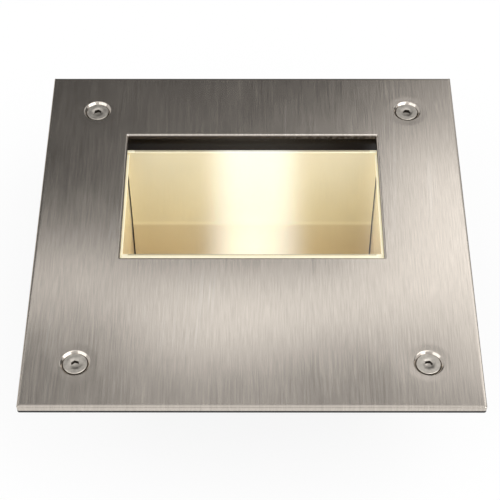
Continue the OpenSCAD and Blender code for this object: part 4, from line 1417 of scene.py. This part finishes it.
@dataclass
class Leads(SubAssembly):
    """The five insulated leads, each a smooth tube on its route."""

    runs: tuple[Lead, ...] = (
        Lead("lead_live", 2.2, (
            (-31.0, 45.25, 13.4), (-33.2, 45.25, 13.4), (-35.4, 45.25, 13.4), (-40.6, 41.05, 10.2),
            (-42.6, 33.9, 7.35), (-42.6, 25.1, 5.75), (-42.6, 5.75, 5.75), (-42.6, -6.0, 5.75),
            (-42.6, -12.0, 7.5), (-42.6, -16.0, 7.5), (-42.6, -21.0, 7.5),
        )),
        Lead("lead_neutral", 2.2, (
            (-31.0, 37.25, 13.4), (-32.2, 37.25, 13.4), (-33.4, 37.25, 13.4), (-36.2, 33.9, 10.6),
            (-36.6, 29.9, 7.35), (-36.6, 21.9, 5.75), (-36.6, 5.75, 5.75), (-36.6, -6.0, 5.75),
            (-36.6, -12.0, 7.5), (-36.6, -16.0, 7.5), (-36.6, -21.0, 7.5),
        )),
        Lead("lead_earth", 2.2, (
            (-30.6, -21.0, 7.5), (-30.6, -18.0, 7.5), (-30.6, -15.6, 7.5), (-29.0, -13.2, 9.9),
            (-26.6, -15.2, 13.2), (-22.6, -20.6, 14.4), (-17.1, -26.2, 12.8), (-14.7, -27.0, 11.2),
            (-13.1, -27.0, 11.2), (-11.5, -27.0, 11.2),
        )),
        Lead("lead_led_plus", 1.6, (
            (31.0, 37.25, 13.4), (32.2, 37.25, 13.4), (33.4, 37.25, 13.4), (36.0, 33.9, 10.6),
            (36.0, 29.5, 6.55), (36.0, 19.9, 5.75), (36.0, -0.4, 5.75), (36.0, -6.0, 5.75),
            (34.0, -11.6, 9.75), (31.2, -12.4, 16.15), (28.0, -12.0, 22.3), (24.0, -9.5, 25.1),
            (21.9, -9.4, 25.5), (17.9, -9.4, 25.5), (15.5, -9.4, 25.5),
        )),
        Lead("lead_led_minus", 1.6, (
            (31.0, 45.25, 13.4), (33.2, 45.25, 13.4), (35.4, 45.25, 13.4), (40.4, 41.05, 10.2),
            (40.4, 33.9, 6.95), (40.4, 25.1, 5.75), (40.4, -0.4, 5.75), (40.0, -6.0, 6.15),
            (38.0, -12.4, 10.55), (34.8, -14.0, 17.75), (32.0, -14.0, 27.0), (28.8, -12.0, 35.0),
            (24.8, -9.5, 38.6), (21.9, -9.4, 39.0), (17.9, -9.4, 39.0), (15.5, -9.4, 39.0),
        )),
    )
    slack: float = 0.985
    steps: int = 6

    def build(self) -> None:
        """Lay the leads."""
        for lead in self.runs:
            self.keep(self._tube(lead), lead.node, lead.node)

    def _smooth(self, route: Sequence[Triple]) -> list[Vector]:
        """Run a smooth curve through a route's points.

        Args:
            route: The points.

        Returns:
            The curve's points, in metres.
        """
        points = [Vector(place) * MM for place in route]
        ends = [points[0], *points, points[-1]]
        return [
            0.5 * (
                2 * b + (c - a) * t + (2 * a - 5 * b + 4 * c - d) * t * t
                + (3 * b - a - 3 * c + d) * t ** 3
            )
            for a, b, c, d in zip(ends, ends[1:], ends[2:], ends[3:])
            for t in (step / self.steps for step in range(self.steps))
        ] + [points[-1]]

    def _tube(self, lead: Lead) -> bpy.types.Object:
        """Run a round tube along a lead's route.

        Args:
            lead: The lead.

        Returns:
            The tube, with a map that wraps round it.
        """
        line = self._smooth(lead.route)
        curve = bpy.data.curves.new(lead.node + "_laid", "CURVE")
        curve.dimensions = "3D"
        curve.bevel_depth = lead.diameter / 2 * MM * self.slack
        curve.bevel_resolution = 4
        curve.use_fill_caps = True
        spline = curve.splines.new("POLY")
        spline.points.add(len(line) - 1)
        for point, place in zip(spline.points, line):
            point.co = (*place, 1.0)
        Bench.take(Bench.placed(lead.node + "_laid", curve))
        bpy.ops.object.convert(target="MESH")
        piece = bpy.context.object
        Bench.close(piece, 1e-7)
        self._wrap(piece, line)
        Bench.round_edges(piece, 0.0, angle=50.0)
        return piece

    @staticmethod
    def _wrap(piece: bpy.types.Object, line: Sequence[Vector]) -> None:
        """Map a tube's girth to U.

        Args:
            piece: The tube.
            line: The points along its middle.
        """
        mesh = piece.data
        while mesh.uv_layers:
            mesh.uv_layers.remove(mesh.uv_layers[0])
        layer = mesh.uv_layers.new(name="wrap")
        for face in mesh.polygons:
            spot = min(
                range(len(line) - 1), key=lambda i: (line[i] + line[i + 1] - 2 * face.center).length
            )
            way = (line[spot + 1] - line[spot]).normalized()
            across = way.orthogonal() if abs(way.z) > 0.9 else way.cross(Vector((0.0, 0.0, 1.0)))
            across.normalize()
            upper = across.cross(way)
            first = None
            for index in face.loop_indices:
                off = mesh.vertices[mesh.loops[index].vertex_index].co - line[spot]
                turn = math.atan2(off.dot(upper), off.dot(across)) / (2 * math.pi)
                first = turn if first is None else first
                layer.data[index].uv = (turn - round(turn - first), spot * 0.1)


@dataclass
class Entries(SubAssembly):
    """The cable gland on one side and the blanking plug on the other."""

    carried: tuple[Dress, ...] = (
        Dress("gland_body gland_locknut gland_nut blanking_plug plug_locknut", "nylon", 0.3, 3),
        Dress("gland_seal gland_washer plug_washer", "silicone", 0.12),
    )


@dataclass
class Cover(SubAssembly):
    """The front plate and all that hangs from it."""

    carried: tuple[Dress, ...] = (
        Dress("glass_seal", "silicone", 0.08),
        Dress("glass_pane", "glass", 0.25),
        Dress("glass_frame", "frame", 0.3, 3),
        Dress("frame_nuts", "stud", 0.12),
    )
    half: float = 75.0
    top: float = 60.0
    plate_edge: float = 0.17
    roll_from: float = 73.8
    roll_step: float = 0.2
    roll_slopes: tuple[float, ...] = (0.012, 0.03, 0.055, 0.09, 0.14)
    window_reach: float = 46.0
    map_scale: float = 10.0
    gasket_from: float = 73.0
    gasket_swell: float = 1.006
    gasket_edge: float = 0.12
    stud_x: float = 55.0
    stud_y: tuple[float, float] = (-8.0, 38.0)
    stud_radius: float = 1.5
    stud_pitch: float = 0.5
    stud_low: float = 49.0
    stud_high: float = 58.0

    def build(self) -> None:
        """Make and dress the cover's pieces."""
        self._plate()
        self._gasket()
        super().build()
        self._studs()

    def _plate(self) -> None:
        """Give the plate its deburred edges, a dark brown finish on the window's inner sides and its
        brushing's map.
        """
        plate = Bench.from_node("front_plate")
        self._roll(plate)
        Bench.round_edges(plate, self.plate_edge, 3)
        self._true(plate)
        self.keep(plate, "front_plate", "plate", "cut")
        mesh = plate.data
        layer = mesh.uv_layers.new(name="brush")
        for face in mesh.polygons:
            across, along, up = map(abs, face.normal)
            # The window's inner sides take the dark brown finish.
            if up < 0.4 and max(map(abs, face.center.xy)) < self.window_reach * MM:
                face.material_index = 1
            for index in face.loop_indices:
                x, y, z = mesh.vertices[mesh.loops[index].vertex_index].co * self.map_scale
                layer.data[index].uv = (x, y) if up > 0.5 else (z, x if along > across else y)

    def _roll(self, plate: bpy.types.Object) -> None:
        """Roll the plate's outer upper edge over a little, as graining leaves it.

        Args:
            plate: The plate.
        """
        with Bench.edit(plate, Pick.FACES):
            cuts = [(self.roll_from + ring * self.roll_step) * MM for ring in range(len(self.roll_slopes))]
            for cut in cuts:
                for way in ((1.0, 0.0, 0.0), (-1.0, 0.0, 0.0), (0.0, 1.0, 0.0), (0.0, -1.0, 0.0)):
                    bpy.ops.mesh.select_all(action="SELECT")
                    bpy.ops.mesh.bisect(plane_co=[cut * part for part in way], plane_no=way)
            for cut, slope in zip(cuts, self.roll_slopes):
                Bench.select(
                    lambda spot, normal, cut=cut: spot.z > (self.top - 0.25) * MM
                    and max(map(abs, spot.xy)) > cut + 0.01 * MM,
                    Pick.VERTS,
                )
                bpy.ops.transform.translate(value=(0.0, 0.0, -slope * self.roll_step * MM))
        Bench.plain_normals(plate)

    def _true(self, plate: bpy.types.Object) -> None:
        """Bring the points that the rounding pushed past the plate's sides back onto them.

        Args:
            plate: The plate.
        """
        with Bench.edit(plate, Pick.VERTS):
            for axis in (0, 1):
                for side in (-self.half * MM, self.half * MM):
                    if Bench.select(
                        lambda spot, normal, axis=axis, side=side: spot[axis] * side > side * side,
                        Pick.VERTS,
                    ):
                        bpy.ops.transform.resize(
                            value=[0.0 if part == axis else 1.0 for part in range(3)],
                            center_override=[side if part == axis else 0.0 for part in range(3)],
                        )

    def _gasket(self) -> None:
        """Squeeze the foam gasket, so that its outer edge swells out under the plate."""
        gasket = Bench.from_node("plate_gasket")
        with Bench.edit(gasket, Pick.VERTS):
            Bench.select(lambda spot, normal: max(map(abs, spot.xy)) > self.gasket_from * MM, Pick.VERTS)
            bpy.ops.transform.resize(
                value=(self.gasket_swell, self.gasket_swell, 1.0), center_override=(0.0, 0.0, 0.0)
            )
        Bench.round_edges(gasket, self.gasket_edge, 3)
        self.keep(gasket, "plate_gasket", "foam")

    def _studs(self) -> None:
        """Make one threaded weld stud and copy it to the four places."""
        radius, high = self.stud_radius, self.stud_high
        rod = Shapes.threaded("stud_thread", radius, self.stud_pitch, self.stud_low, high - 0.9)
        rings = ((radius - 0.3, high - 1.0), (radius, high - 0.7), (radius, high))
        root = Shapes.turned("stud_root", rings)
        stud = Bench.join("stud", (rod, root))
        places = [(x, y) for x in (-self.stud_x, self.stud_x) for y in self.stud_y]
        copies = [
            Bench.twin(stud, "stud_%d" % index, Matrix.Translation((x * MM, y * MM, 0.0)))
            for index, (x, y) in enumerate(places)
        ]
        bpy.data.objects.remove(stud)
        studs = Bench.join("frame_studs_threaded", copies)
        Bench.round_edges(studs, 0.0)
        self.keep(studs, "frame_studs", "stud")


@dataclass
class CoverScrews(SubAssembly):
    """Four countersunk screws with hex sockets."""

    spot: float = 57.5
    top: float = 59.55
    head_radius: float = 4.0
    land: float = 0.4
    shank: float = 2.0
    length: float = 14.0
    pitch: float = 0.7
    socket: float = 2.5
    socket_depth: float = 1.6
    point: float = 0.5
    mouth: float = 0.2
    rim: tuple[Ring, ...] = ((4.0, 0.16), (3.95, 0.06), (3.84, 0.0), (2.6, 0.0), (1.95, 0.0), (1.62, 0.16))
    hair: float = 0.01
    turns: tuple[tuple[str, int, int, float], ...] = (
        ("near_left", -1, -1, 12.0),
        ("near_right", 1, -1, 38.0),
        ("far_left", -1, 1, 52.0),
        ("far_right", 1, 1, 25.0),
    )

    def build(self) -> None:
        """Model one screw and copy it to the four corners, each turned its own way."""
        screw = self._model()
        for name, x, y, angle in self.turns:
            place = Matrix.Translation((x * self.spot * MM, y * self.spot * MM, 0.0))
            turned = place @ Matrix.Rotation(math.radians(angle), 4, "Z")
            copy = Bench.twin(screw, "cover_screw_%s_turned" % name, turned)
            self.keep(copy, "cover_screw_" + name, "screw", "socket")
            for face in copy.data.polygons:
                reach = (face.center.xy - place.translation.xy).length / MM
                down = self.top - face.center.z / MM
                # Painted shade: the hex socket's walls and the land in the gap round the head take the dark
                # socket finish.
                in_socket = reach < 1.6 and self.mouth + self.hair < down < self.socket_depth
                on_land = reach > self.head_radius - 0.1 and abs(face.normal.z) < 0.3
                if in_socket or on_land:
                    face.material_index = 1
        bpy.data.objects.remove(screw)

    def _model(self) -> bpy.types.Object:
        """Model the screw on the Z axis.

        Returns:
            The screw.
        """
        neck = self.top - self.land - (self.head_radius - self.shank)
        profile = [
            (self.shank - 0.25, neck - 0.8), (self.shank, neck - 0.55), (self.shank, neck),
            (self.head_radius, self.top - self.land), *((wide, self.top - down) for wide, down in self.rim),
        ]
        head = Shapes.circle("screw_head", profile[0], 60)
        level = self.top - self.mouth
        with Bench.edit(head, Pick.EDGES):
            Shapes.rise(profile)
            bpy.ops.mesh.primitive_circle_add(
                vertices=6, radius=self.socket / math.sqrt(3) * MM, fill_type="NOTHING",
                location=(0.0, 0.0, level * MM),
            )
            Bench.select(
                lambda middle, way: middle.z > (level - self.hair) * MM
                and middle.xy.length < (self.rim[-1][0] + self.hair) * MM, Pick.EDGES,
            )
            bpy.ops.mesh.bridge_edge_loops()
            Bench.select(
                lambda middle, way: abs(middle.z - level * MM) < 1e-6
                and middle.xy.length < self.socket * 0.51 * MM, Pick.EDGES,
            )
            for down in (self.socket_depth - self.mouth, self.point):
                bpy.ops.mesh.extrude_edges_move(TRANSFORM_OT_translate={"value": (0.0, 0.0, -down * MM)})
            bpy.ops.mesh.merge(type="CENTER")
        Bench.close(head)
        rod = Shapes.threaded("screw_thread", self.shank, self.pitch, self.top - self.length, neck - 0.6)
        screw = Bench.join("screw", (head, rod))
        Bench.round_edges(screw, 0.0, angle=28.0)
        Shapes.axis_map(screw)
        return screw


def main() -> None:
    """Build the studio and the light, and log how many finishes and pieces were made."""
    logging.basicConfig(level=logging.INFO, format="%(name)s %(message)s")
    PhotoCamera().build()
    materials = {key: finish.make() for key, finish in FINISHES.items()}
    LOG.info("finishes: %d", len(materials))
    Studio().build()
    for part in (Housing, Reflector, LightSource, Driver, Terminals, Leads, Entries, Cover, CoverScrews):
        made = part(materials)
        made.build()
        LOG.info("%s: %d pieces", part.__name__, len(made.pieces))
    Bench.clear()


if __name__ == "__main__":
    main()
